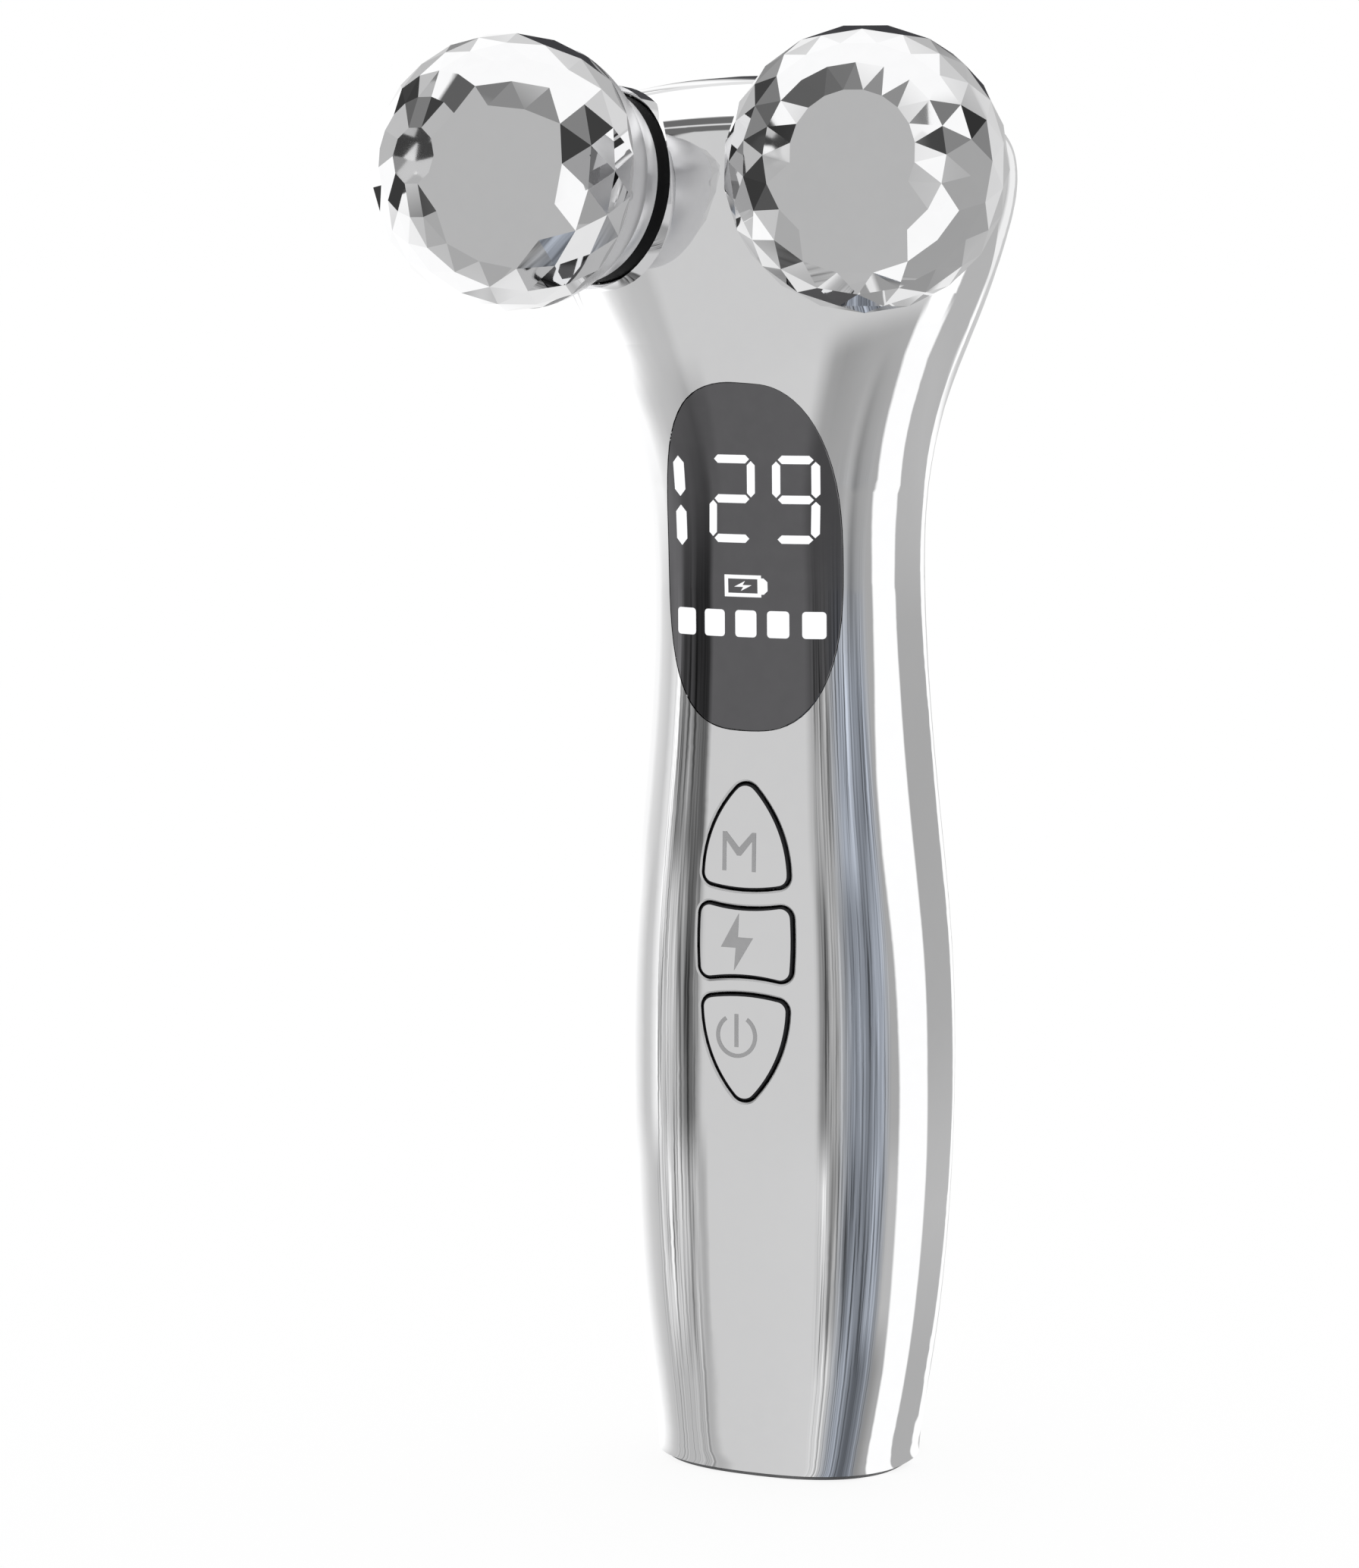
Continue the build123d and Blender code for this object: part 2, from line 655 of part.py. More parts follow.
def make_button_keypad():
    """The silicone mat: a sheet on a skirt, with a pad in front of each switch."""
    low = (-KEYPAD_HALF_WIDTH, KEYPAD_FACE, POWER_BOTTOM - 0.6)
    high = (KEYPAD_HALF_WIDTH, BOARD_FRONT, MODE_TOP - 1.0)
    mat = block(low, high)
    hollow_low = (low[0] + KEYPAD_WALL, KEYPAD_FACE + KEYPAD_SHEET, low[2] + KEYPAD_WALL)
    hollow_high = (high[0] - KEYPAD_WALL, BOARD_FRONT, high[2] - KEYPAD_WALL)
    mat -= block(hollow_low, hollow_high)
    for z in BUTTON_CENTRES.values():
        mat += cylinder_along_y(BUTTON_STUB_RADIUS + 0.4, 0, z, KEYPAD_PAD_TOP, KEYPAD_FACE)
    return mat


def make_tact_switches():
    """Three square switches with round stems that reach the mat."""
    switches = []
    half = SWITCH_SIZE / 2
    for z in BUTTON_CENTRES.values():
        case = block((-half, BOARD_FRONT - SWITCH_BODY, z - half), (half, BOARD_FRONT, z + half))
        stem_top = KEYPAD_FACE + KEYPAD_SHEET
        stem = cylinder_along_y(SWITCH_SIZE / 4, 0, z, stem_top, BOARD_FRONT - SWITCH_BODY)
        switches.append(case + stem)
    return Compound(switches)


def make_main_board():
    """The long board with rounded corners and four screw holes."""
    face = Pos(0, (BOARD_BOTTOM + BOARD_TOP) / 2) * RectangleRounded(
        2 * BOARD_HALF_WIDTH, BOARD_TOP - BOARD_BOTTOM, 2.0)
    for x, z in screw_places():
        face -= Pos(x, z) * Circle(SCREW_RADIUS + 0.1)
    return Pos(0, BOARD_FRONT + BOARD_THICKNESS, 0) * extrude(Plane.XZ * face, amount=BOARD_THICKNESS)


def make_display_module():
    """The light box of the display, with its front edges eased."""
    low = (-DISPLAY_HALF_WIDTH, DISPLAY_FACE, DISPLAY_BOTTOM)
    high = (DISPLAY_HALF_WIDTH, BOARD_FRONT, DISPLAY_TOP)
    box = block(low, high)
    return chamfer(box.faces().sort_by(Axis.Y)[0].edges(), DISPLAY_BEVEL)


def make_boost_coil():
    """A drum-shaped coil on the back of the board."""
    back = BOARD_FRONT + BOARD_THICKNESS
    drum = turned([
        (0, 0), (COIL_RADIUS, 0), (COIL_RADIUS, 0.7), (COIL_RADIUS - 0.6, 1.0),
        (COIL_RADIUS - 0.6, COIL_HEIGHT - 1.0), (COIL_RADIUS, COIL_HEIGHT - 0.7),
        (COIL_RADIUS, COIL_HEIGHT), (0, COIL_HEIGHT),
    ])
    return Pos(0, back, COIL_Z) * Rot(-90, 0, 0) * drum


def make_battery_cell():
    """A round cell with its raised contact."""
    top = BATTERY_BOTTOM + BATTERY_LENGTH
    radius = BATTERY_RADIUS
    cell = turned([
        (0, BATTERY_BOTTOM), (radius - 0.5, BATTERY_BOTTOM), (radius, BATTERY_BOTTOM + 0.5),
        (radius, top - 0.6), (radius - 0.6, top), (2.8, top), (2.8, top + CELL_TIP), (0, top + CELL_TIP),
    ])
    return Pos(0, BATTERY_Y, 0) * cell


def make_battery_cradle():
    """Two cheeks and an end disc that hold the cell, trimmed to the cavity."""
    outer = BATTERY_RADIUS + CRADLE_WALL
    floor = BATTERY_BOTTOM - CRADLE_WALL
    sleeve = Pos(0, BATTERY_Y, floor) * Cylinder(outer, BATTERY_LENGTH, align=FROM_FLOOR)
    sleeve -= Pos(0, BATTERY_Y, BATTERY_BOTTOM) * Cylinder(
        BATTERY_RADIUS + 0.05, BATTERY_LENGTH, align=FROM_FLOOR)
    cup_top = BATTERY_BOTTOM + CRADLE_CUP_HEIGHT
    sleeve_top = floor + BATTERY_LENGTH
    window = block((-CRADLE_OPENING, -FRONT_REACH, cup_top), (CRADLE_OPENING, FRONT_REACH, sleeve_top))
    cradle = (sleeve - window) & BODIES[WALL + CAVITY_GAP]
    front_end = BOARD_FRONT + BOARD_THICKNESS + CRADLE_BOARD_GAP
    return cradle - block((-SIDE_REACH, -FRONT_REACH, 0), (SIDE_REACH, front_end, sleeve_top))


def screw(head_back):
    """A small pan-head screw whose head sits on a plate's back face."""
    head = cylinder_along_y(SCREW_HEAD_RADIUS, 0, 0, head_back, head_back + SCREW_HEAD_HEIGHT)
    shank = cylinder_along_y(SCREW_RADIUS, 0, 0, head_back - SCREW_LENGTH, head_back)
    return head + shank


def make_board_screws():
    """The four screws that hold the board to the front shell."""
    one = screw(BOARD_FRONT + BOARD_THICKNESS)
    return Compound([Pos(x, 0, z) * one for x, z in screw_places()])


def make_bracket_screws():
    """The two screws that hold the bracket to the front shell."""
    one = screw(BRACKET_FRONT + BRACKET_THICKNESS)
    return Compound([Pos(side * BRACKET_SCREW_X, 0, BRACKET_SCREW_Z) * one for side in (-1, 1)])


def make_head_bracket():
    """The carrier: a plate with a cross bar and a bored boss for each axle."""
    back = BRACKET_FRONT + BRACKET_THICKNESS
    half = BRACKET_PLATE_HALF_WIDTH
    plate = block((-half, BRACKET_FRONT, BRACKET_PLATE_BOTTOM), (half, back, BRACKET_PLATE_TOP))
    half = BRACKET_BAR_HALF_WIDTH
    bar = block((-half, BRACKET_FRONT, BRACKET_BAR_BOTTOM), (half, back, BRACKET_BAR_TOP))
    bracket = plate + bar
    boss_front = -SEAT_DEPTH - SEAT_WALL - BRACKET_BOSS_GAP
    for side in (-1, 1):
        boss = Pos(0, 0, -AXLE_SHANK_END) * Cylinder(
            BRACKET_BOSS_RADIUS, AXLE_SHANK_END + boss_front, align=FROM_FLOOR)
        behind = Pos(0, 0, -AXLE_END - 5) * Cylinder(
            BRACKET_BOSS_RADIUS + 0.4, AXLE_END + 5 - AXLE_SHANK_END, align=FROM_FLOOR)
        bore = Pos(0, 0, -AXLE_SHANK_END - 1) * Cylinder(
            AXLE_SHANK_RADIUS + 0.01, AXLE_SHANK_END, align=FROM_FLOOR)
        bracket = bracket + roller_place(side) * boss
        bracket = bracket - roller_place(side) * (behind + bore)
    for side in (-1, 1):
        bracket -= cylinder_along_y(
            SCREW_RADIUS + 0.1, side * BRACKET_SCREW_X, BRACKET_SCREW_Z, BRACKET_FRONT - 1, back + 1)
    return bracket & BODIES[WALL + CAVITY_GAP]


# ---- leads between the pieces inside ----

def lead(*points):
    """A thin lead along straight runs that meet in rounded bends."""
    path = FilletPolyline(*points, radius=LEAD_BEND)
    return sweep(Plane(path @ 0, z_dir=path % 0) * Circle(LEAD_RADIUS), path=path)


def make_electrode_leads():
    """The two leads from the axle contacts to the back of the board."""
    board_back = BOARD_FRONT + BOARD_THICKNESS
    tag_back = -AXLE_SHANK_END - CONTACT_THICKNESS
    leads = []
    for side in (-1, 1):
        x = side * ELECTRODE_LEAD_X
        on_tag = Pos(0, -ELECTRODE_LEAD_START, tag_back)
        off_tag = Pos(0, -ELECTRODE_LEAD_START, tag_back - ELECTRODE_LEAD_RISE)
        leads.append(lead(
            (roller_place(side) * on_tag).position,
            (roller_place(side) * off_tag).position,
            (x, ELECTRODE_LEAD_Y, ELECTRODE_LEAD_TURN_Z),
            (x, ELECTRODE_LEAD_Y, ELECTRODE_LEAD_END_Z),
            (x, board_back, ELECTRODE_LEAD_END_Z),
        ))
    return Compound(leads)


def make_battery_leads():
    """The leads from the cell's contact and from its can to the back of the board."""
    board_back = BOARD_FRONT + BOARD_THICKNESS
    can_top = BATTERY_BOTTOM + BATTERY_LENGTH
    leads = []
    places = ((0, can_top + CELL_TIP, CELL_LEAD_HEIGHT), (CAN_LEAD_X, can_top, CAN_LEAD_HEIGHT))
    for x, start, height in places:
        leads.append(lead((x, BATTERY_Y, start), (x, BATTERY_Y, height), (x, board_back, height)))
    return Compound(leads)


def make_charge_leads():
    """The two leads from the charge board up to the foot of the main board."""
    y = BOARD_FRONT + BOARD_THICKNESS / 2
    leads = []
    for x in (-CHARGE_LEAD_X, CHARGE_LEAD_X):
        leads.append(lead((x, SOCKET_RADIUS, CHARGE_LEAD_Z), (x, y, CHARGE_LEAD_Z), (x, y, BOARD_BOTTOM)))
    return Compound(leads)


# ---- base of the handle ----

def base_layer(inset, low, high):
    """A level slice of the handle's foot, set in by an inset."""
    foot = BODY_STATIONS[0]
    section = body_section(low, foot[1] - inset, foot[2] - inset, foot[3])
    return extrude(section, amount=high - low, dir=(0, 0, 1))


def socket_outline(grow=0.0):
    """The stadium of the charging socket's mouth, seen from below."""
    return SlotOverall(2 * (SOCKET_HALF_WIDTH + grow), 2 * (SOCKET_RADIUS + grow))


def make_base_cap():
    """The end cap: a flat foot, a skirt inside the shells and the slot for the socket."""
    cap = base_layer(BASE_INSET, 0, BASE_RIM)
    inside = WALL + CAVITY_GAP / 2
    cap += base_layer(inside, BASE_RIM, BASE_SKIRT_TOP)
    cap -= base_layer(inside + BASE_SKIRT_WALL, BASE_FLOOR, BASE_SKIRT_TOP + 1)
    cap -= extrude(socket_outline(SOCKET_CLEARANCE), amount=BASE_FLOOR + 1)
    post_front = SOCKET_RADIUS - BOARD_POST_MARGIN
    post_back = SOCKET_RADIUS + BOARD_THICKNESS + BOARD_POST_MARGIN
    near = CHARGE_BOARD_HALF_WIDTH + BOARD_POST_GAP
    post = block((near, post_front, BASE_FLOOR - SOCKET_CLEARANCE),
                 (near + BOARD_POST_WIDTH, post_back, BASE_SKIRT_TOP + 2))
    return cap + post + mirror(post, Plane.YZ)


def make_charging_socket():
    """The metal socket: a flat oval tube, open below, with its tongue."""
    tube = extrude(socket_outline(), amount=SOCKET_LENGTH)
    tube -= extrude(socket_outline(-SOCKET_WALL), amount=SOCKET_LENGTH - SOCKET_WALL)
    tongue = block((-TONGUE_HALF_WIDTH, -TONGUE_HALF_THICKNESS, TONGUE_TIP),
                   (TONGUE_HALF_WIDTH, TONGUE_HALF_THICKNESS, SOCKET_LENGTH))
    return Pos(0, 0, SOCKET_BOTTOM) * (tube + tongue)


def make_charge_board():
    """The small upright board behind the socket."""
    low = (-CHARGE_BOARD_HALF_WIDTH, SOCKET_RADIUS, CHARGE_BOARD_BOTTOM)
    high = (CHARGE_BOARD_HALF_WIDTH, SOCKET_RADIUS + BOARD_THICKNESS, CHARGE_BOARD_TOP)
    return block(low, high)


# ---- all the nodes ----

INSETS = (
    0.0, WALL / 2, LENS_THICKNESS, LENS_THICKNESS + GASKET_THICKNESS, WALL,
    WALL + BUTTON_REST_GAP, WALL + CAVITY_GAP, WALL + BUTTON_REST_GAP + BUTTON_EAR_THICKNESS,
    WINDOW_PAD_DEPTH,
)
BODIES = {inset: body(inset, foot=None if inset == 0 else -1.0) for inset in INSETS}


def make_nodes():
    """Every piece of the device by its node name."""
    front = front_region()
    nodes = {
        "front_shell": make_front_shell(front),
        "rear_shell": make_rear_shell(front),
        "display_window": make_display_window(),
        "window_gasket": make_window_gasket(),
        "button_keypad": make_button_keypad(),
        "tact_switches": make_tact_switches(),
        "main_board": make_main_board(),
        "display_module": make_display_module(),
        "boost_coil": make_boost_coil(),
        "battery_cell": make_battery_cell(),
        "battery_cradle": make_battery_cradle(),
        "board_screws": make_board_screws(),
        "bracket_screws": make_bracket_screws(),
        "head_bracket": make_head_bracket(),
        "base_cap": make_base_cap(),
        "charging_socket": make_charging_socket(),
        "charge_board": make_charge_board(),
        "electrode_leads": make_electrode_leads(),
        "battery_leads": make_battery_leads(),
        "charge_leads": make_charge_leads(),
    }
    for name, outline in cap_outlines().items():
        nodes[name + "_button"] = make_button(outline, BUTTON_CENTRES[name])
    roller_pieces = {
        "ball": make_ball(),
        "ball_hub": make_ball_hub(),
        "ball_bushes": make_ball_bushes(),
        "seal_ring": make_seal_ring(),
        "axle": make_axle(),
        "retaining_clip": make_retaining_clip(),
        "axle_nut": make_axle_nut(),
    }
    for hand, side in (("left", -1), ("right", 1)):
        for name, piece in roller_pieces.items():
            nodes[hand + "_" + name] = roller_place(side) * piece
    contact = make_axle_contact()
    nodes["axle_contacts"] = Compound([roller_place(side) * contact for side in (-1, 1)])
    return nodes


if __name__ == "__main__":
    os.makedirs("parts", exist_ok=True)
    for node, shape in make_nodes().items():
        export_step(shape, "parts/" + node + ".step")
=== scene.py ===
import bmesh
import bpy
import json
import numpy as np
from math import cos, pi, radians, sin
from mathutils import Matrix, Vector
from mathutils.kdtree import KDTree


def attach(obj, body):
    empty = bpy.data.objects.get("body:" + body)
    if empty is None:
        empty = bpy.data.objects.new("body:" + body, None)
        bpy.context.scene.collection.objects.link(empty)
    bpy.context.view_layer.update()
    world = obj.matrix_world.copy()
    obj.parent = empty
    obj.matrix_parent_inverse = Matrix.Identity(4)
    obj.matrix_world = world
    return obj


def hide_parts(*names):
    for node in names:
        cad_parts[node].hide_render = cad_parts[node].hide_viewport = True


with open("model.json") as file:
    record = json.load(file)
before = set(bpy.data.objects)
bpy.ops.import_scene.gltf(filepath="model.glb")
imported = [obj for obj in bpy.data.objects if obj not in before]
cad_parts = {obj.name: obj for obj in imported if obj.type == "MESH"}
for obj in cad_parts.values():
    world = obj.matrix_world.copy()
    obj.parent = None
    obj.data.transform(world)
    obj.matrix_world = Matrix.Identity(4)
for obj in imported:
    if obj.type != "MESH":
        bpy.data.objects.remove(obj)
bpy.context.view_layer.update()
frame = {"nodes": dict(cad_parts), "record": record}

# Facial toning device: a waisted chrome handle, two faceted rollers, a lit window, three buttons.
# Sizes are millimetres until a point is placed, and MM makes them metres.
MM = 0.001

# ---- handle ----
# Height, half width, half depth and centre Y of each station of the handle.
STATIONS = [
    (0.6, 15.0, 12.0, 0.0), (12.0, 16.6, 12.5, 0.1), (24.0, 18.0, 13.0, 0.3),
    (44.0, 18.9, 13.3, 0.5), (60.0, 18.5, 13.2, 0.4), (75.0, 17.0, 12.8, 0.3),
    (88.0, 15.8, 12.2, 0.1), (101.0, 15.3, 11.8, -0.4), (112.0, 16.4, 11.8, -1.4),
    (122.0, 19.3, 12.0, -2.8), (132.0, 24.2, 12.2, -4.5), (140.0, 27.6, 12.3, -5.8),
    (147.0, 29.0, 12.3, -6.6),
]
SHOULDER_Z = 147.0
BODY_TOP = 157.5
CROWN_ARCH = 2.4
CROWN_END = 157.38
SQUARENESS = [(101.0, 2.4), (112.0, 2.15), (147.0, 2.15), (151.0, 2.0)]
# A face is skin or rim when it lies this near the smooth body and faces this much the same way.
SKIN_DEPTH = 0.3
SKIN_TURN = 0.94
RIM_DEPTH = 0.35
RIM_TURN = 0.4
RIM_TOP = 128.0
RIM_BLEND = 0.5
RIM_LEAN = 30
SMOOTH_ANGLE = 25
HEIGHT_STEP = 0.02
# Where the button holes are: half width, the Y they lie in front of, and their heights.
KEY_REACH = 9.0
KEY_BACK = -8.0
KEY_HEIGHTS = (40.0, 84.0)

# ---- rollers ----
BALL_X = 21.0
BALL_Y = -28.3
BALL_Z = 146.7
AXLE_SPREAD = 17.0
AXLE_RISE = 6.0
SEAT_DEPTH = 13.35
SEAT_RADIUS = 11.4
# How near its plane or wall a face of the seat lies, and how deep the post under it goes.
SEAT_FLOOR = 0.1
SEAT_SLACK = 0.02
NEAR_SEAT = 0.05
NEAR_POST = 0.08
POST_DEPTH = 2.5
FACING_OUT = 0.9
FACING_ASIDE = 0.2
SKIRT_TOP = -10.3
SKIRT_BOTTOM = -11.95
SKIRT_RADIUS = 10.88
SKIRT_WALL = 0.26
SKIRT_SIDES = 120
SKIRT_SMOOTH = 40
BAND_TOP = -4.3
BAND_REACH = 14.6

# ---- window outline: half width, half height and squareness ----
WINDOW_Z = 104.5
DRAWN_WINDOW = (11.1, 19.4, 2.35)
SEEN_WINDOW = (10.7, 19.4, 2.8)
# Share of the change, from the window's centre outwards; 1 is its outline.
WINDOW_BLEND = ((0.3, 0.8, 1.15, 1.5), (0, 1, 1, 0))
WINDOW_BACK = -5

# ---- signs on the window and the buttons ----
DIGIT_CENTRE_Z = 111.0
DIGIT_HALF_HEIGHT = 4.42
DIGIT_STROKE = 0.92
DIGIT_GAP = 0.2
DIGIT_SLANT = 0.05
# Centre X and half width of each wide digit.
DIGIT_PLACES = {"2": (-1.45, 2.35), "9": (6.0, 2.15)}
ONE_X = -8.35
ONE_STROKE = 1.5
ONE_GAP = 0.5
ONE_HALF_HEIGHT = 5.5
ONE_DROP = 0.4
ONE_LEAN = 0.045
# Segments of a digit: a top, b and c right, d bottom, e and f left, g middle.
SEGMENTS = {"1": "bc", "2": "abged", "9": "abcdfg"}
LEVEL_XS = (-7.87, -4.05, -0.15, 3.7, 7.7)
LEVEL_Z = 97.1
LEVEL_HALF_WIDTH = 1.28
LEVEL_HALF_HEIGHT = 1.5
LEVEL_CORNER = 0.4
BATTERY_LEFT = -2.7
BATTERY_RIGHT = 1.75
BATTERY_Z = 101.3
BATTERY_HALF_HEIGHT = 1.22
BATTERY_LINE = 0.42
BATTERY_CAP = [(0, -0.9), (0.3, -0.9), (0.75, -0.5), (0.75, 0.5), (0.3, 0.9), (0, 0.9)]
SMALL_BOLT = [(1.2, -0.1), (2.5, 0.55), (2.2, 0.1), (3.3, 0.1), (2.0, -0.55), (2.3, -0.1)]
ICON_STROKE = 0.46
MODE_ICON = (-0.7, 71.6)
LETTER_M = [
    (-2.05, -2.2), (-2.05, 2.2), (-1.57, 2.2), (0, 0.45), (1.57, 2.2), (2.05, 2.2), (2.05, -2.2),
    (1.59, -2.2), (1.59, 1.25), (0.22, -0.45), (-0.22, -0.45), (-1.59, 1.25), (-1.59, -2.2),
]
BOLT_ICON = (-0.9, 61.4)
BOLT = [(0.25, 3.25), (-1.95, -0.65), (-0.1, -0.65), (-0.3, -3.2), (2.0, 0.55), (0.15, 0.55)]
POWER_ICON = (-0.9, 50.8)
POWER_RING_RADIUS = 2.3
POWER_RING_GAP = 34
POWER_RING_STEPS = 40
POWER_BAR = (-1.3, 2.45)
SIGN_THICKNESS = 0.05
SIGN_FRONT = -40.0
DRAPE_STEP = 0.5


# ---- helpers for objects ----

def deselect_all():
    """Leave nothing selected, so that an operator acts on one piece only."""
    bpy.ops.object.select_all(action="DESELECT")


def pick(piece):
    """Select one piece alone and make it active."""
    deselect_all()
    piece.select_set(True)
    bpy.context.view_layer.objects.active = piece


def apply_all(piece):
    """Apply every modifier of a piece in order."""
    pick(piece)
    for modifier in list(piece.modifiers):
        bpy.ops.object.modifier_apply(modifier=modifier.name)


def join(pieces, name):
    """Join pieces into one."""
    deselect_all()
    for piece in pieces:
        piece.select_set(True)
    bpy.context.view_layer.objects.active = pieces[0]
    if len(pieces) > 1:
        bpy.ops.object.join()
    pieces[0].name = name
    return pieces[0]


def paint(piece, material):
    """Give a piece one material all over."""
    piece.data.materials.clear()
    piece.data.materials.append(material)


# ---- the smooth form of the handle ----

def smooth_curve(knots, values):
    """A cubic through the values at the knots with free ends, for an array of places."""
    knots, values = np.array(knots), np.array(values)
    spans = np.diff(knots)
    slopes = np.diff(values) / spans
    matrix = np.zeros((len(knots), len(knots)))
    matrix[0, :3] = spans[1], -spans[0] - spans[1], spans[0]
    matrix[-1, -3:] = spans[-1], -spans[-2] - spans[-1], spans[-2]
    right = np.zeros(len(knots))
    for row in range(1, len(knots) - 1):
        matrix[row, row - 1:row + 2] = spans[row - 1], 2 * (spans[row - 1] + spans[row]), spans[row]
        right[row] = 6 * (slopes[row] - slopes[row - 1])
    bends = np.linalg.solve(matrix, right)

    def values_at(places):
        row = np.clip(np.searchsorted(knots, places) - 1, 0, len(spans) - 1)
        after = (places - knots[row]) / spans[row]
        before = 1 - after
        bend = (before ** 3 - before) * bends[row] + (after ** 3 - after) * bends[row + 1]
        return before * values[row] + after * values[row + 1] + bend * spans[row] ** 2 / 6

    return values_at


HEIGHTS = [station[0] for station in STATIONS]
half_width_at, half_depth_at, centre_y_at = (
    smooth_curve(HEIGHTS, [station[column] for station in STATIONS]) for column in (1, 2, 3))


def section_at(heights):
    """Half width, half depth, centre Y and squareness of the body at an array of heights."""
    low = np.clip(heights, HEIGHTS[0], SHOULDER_Z)
    rise = np.clip((heights - SHOULDER_Z) / (BODY_TOP - SHOULDER_Z), 0, 0.999)
    width = half_width_at(low) * np.sqrt(1 - rise ** CROWN_ARCH)
    depth = half_depth_at(low) * np.sqrt(1 - rise ** 2)
    power = np.interp(heights, *zip(*SQUARENESS))
    return width, depth, centre_y_at(low), power


def reach(x, y, heights):
    """How far out a point lies in its level section; 1 is on the surface."""
    width, depth, middle, power = section_at(heights)
    return np.abs(x / width) ** power + np.abs((y - middle) / depth) ** power, power


def front_of(x, heights):
    """Y of the body's front surface."""
    width, depth, middle, power = section_at(heights)
    return middle - depth * np.maximum(1 - np.abs(x / width) ** power, 0) ** (1 / power)


def body_normals(points):
    """Outward normals of the smooth body at points near it, and how far off it they are."""
    x, y, z = points.T
    width, depth, middle, power = section_at(z)
    across, along = x / width, (y - middle) / depth
    above, below = reach(x, y, z + HEIGHT_STEP)[0], reach(x, y, z - HEIGHT_STEP)[0]
    normals = np.stack([
        np.sign(across) * np.abs(across) ** (power - 1) * power / width,
        np.sign(along) * np.abs(along) ** (power - 1) * power / depth,
        (above - below) / (2 * HEIGHT_STEP),
    ], axis=1)
    lengths = np.linalg.norm(normals, axis=1, keepdims=True)
    off = np.abs(reach(x, y, z)[0] - 1) / lengths[:, 0]
    normals /= lengths
    crown = z > CROWN_END
    top = np.stack([x / STATIONS[-1][1] ** 2, (y - STATIONS[-1][3]) / STATIONS[-1][2] ** 2,
                    (z - SHOULDER_Z) / (BODY_TOP - SHOULDER_Z) ** 2], axis=1)
    normals[crown] = (top / np.linalg.norm(top, axis=1, keepdims=True))[crown]
    off[crown] = 0
    return normals, off


def mesh_values(items, field, width):
    """One field of every item of a mesh as an array."""
    values = np.empty(len(items) * width, dtype=np.float32)
    items.foreach_get(field, values)
    return values.reshape(-1, width)


def mesh_numbers(items, field):
    """One whole-number field of every item of a mesh."""
    values = np.empty(len(items), dtype=np.int32)
    items.foreach_get(field, values)
    return values


def roller_axis(side):
    """Centre of a roller and the way its axle points; side is -1 on the left and 1 on the right."""
    spread, rise = radians(AXLE_SPREAD), radians(AXLE_RISE)
    outward = Vector((side * sin(spread) * cos(rise), -cos(spread) * cos(rise), sin(rise)))
    return Vector((side * BALL_X, BALL_Y, BALL_Z)), outward


def about_axle(points, side):
    """For points near a roller: how far along its axle, which way and how far aside; the axle's direction."""
    centre, outward = (np.array(part) for part in roller_axis(side))
    from_centre = points - centre
    along = from_centre @ outward
    away = from_centre - along[:, None] * outward
    return along, away, np.linalg.norm(away, axis=1), outward


def in_a_seat(points):
    """Which points lie in the round seats that the rollers stand on."""
    inside = np.zeros(len(points), dtype=bool)
    for side in (-1, 1):
        along, _, aside, _ = about_axle(points, side)
        inside |= (aside < SEAT_RADIUS + SEAT_SLACK) & (along > -SEAT_DEPTH - SEAT_FLOOR)
    return inside


def seat_normals(centres, places, faces):
    """For each flat seat and the round post under it: its faces and their normals at every corner."""
    for side in (-1, 1):
        along, _, aside, outward = about_axle(centres, side)
        turned = faces @ outward
        low = along < -SEAT_DEPTH + NEAR_SEAT
        seat = low & (along > -SEAT_DEPTH - NEAR_SEAT) & (aside < SEAT_RADIUS) & (turned > FACING_OUT)
        yield seat, np.tile(outward, (len(places), 1))
        post = low & (along > -SEAT_DEPTH - POST_DEPTH) & (np.abs(aside - SEAT_RADIUS) < NEAR_POST)
        _, away, aside, _ = about_axle(places, side)
        yield post & (np.abs(turned) < FACING_ASIDE), away / np.maximum(aside[:, None], 1e-9)


def window_reach(x, up, outline):
    """How far from the window's centre points lie; 1 is on the outline."""
    width, height, power = outline
    return (np.abs(x / width) ** power + np.abs(up / height) ** power) ** (1 / power)


def fuller_window(piece):
    """Square up the window's outline on a piece; its points stay on the smooth body."""
    mesh = piece.data
    places = mesh_values(mesh.vertices, "co", 3).astype(float) / MM
    x, y, z = places.T
    up = z - WINDOW_Z
    drawn, seen = window_reach(x, up, DRAWN_WINDOW), window_reach(x, up, SEEN_WINDOW)
    share = np.interp(drawn, *WINDOW_BLEND) * (y < WINDOW_BACK)
    scale = 1 + share * (drawn / np.maximum(seen, 1e-6) - 1)
    new_x, new_z = x * scale, WINDOW_Z + up * scale
    y = y + front_of(new_x, new_z) - front_of(x, z)
    mesh.vertices.foreach_set("co", (np.stack([new_x, y, new_z], axis=1) * MM).ravel())
    mesh.update()


def even_out(places, sides, found):
    """The mean side direction round each place of a rim, so that the rim shades as one rounded edge."""
    tree = KDTree(len(found))
    for vertex in found:
        tree.insert(Vector(places[vertex]), vertex)
    tree.balance()
    even = sides.copy()
    for vertex in found:
        near = [entry[1] for entry in tree.find_range(Vector(places[vertex]), RIM_BLEND * MM)]
        even[vertex] = sides[near].sum(axis=0)
    return even / np.maximum(np.linalg.norm(even, axis=1, keepdims=True), 1e-9)


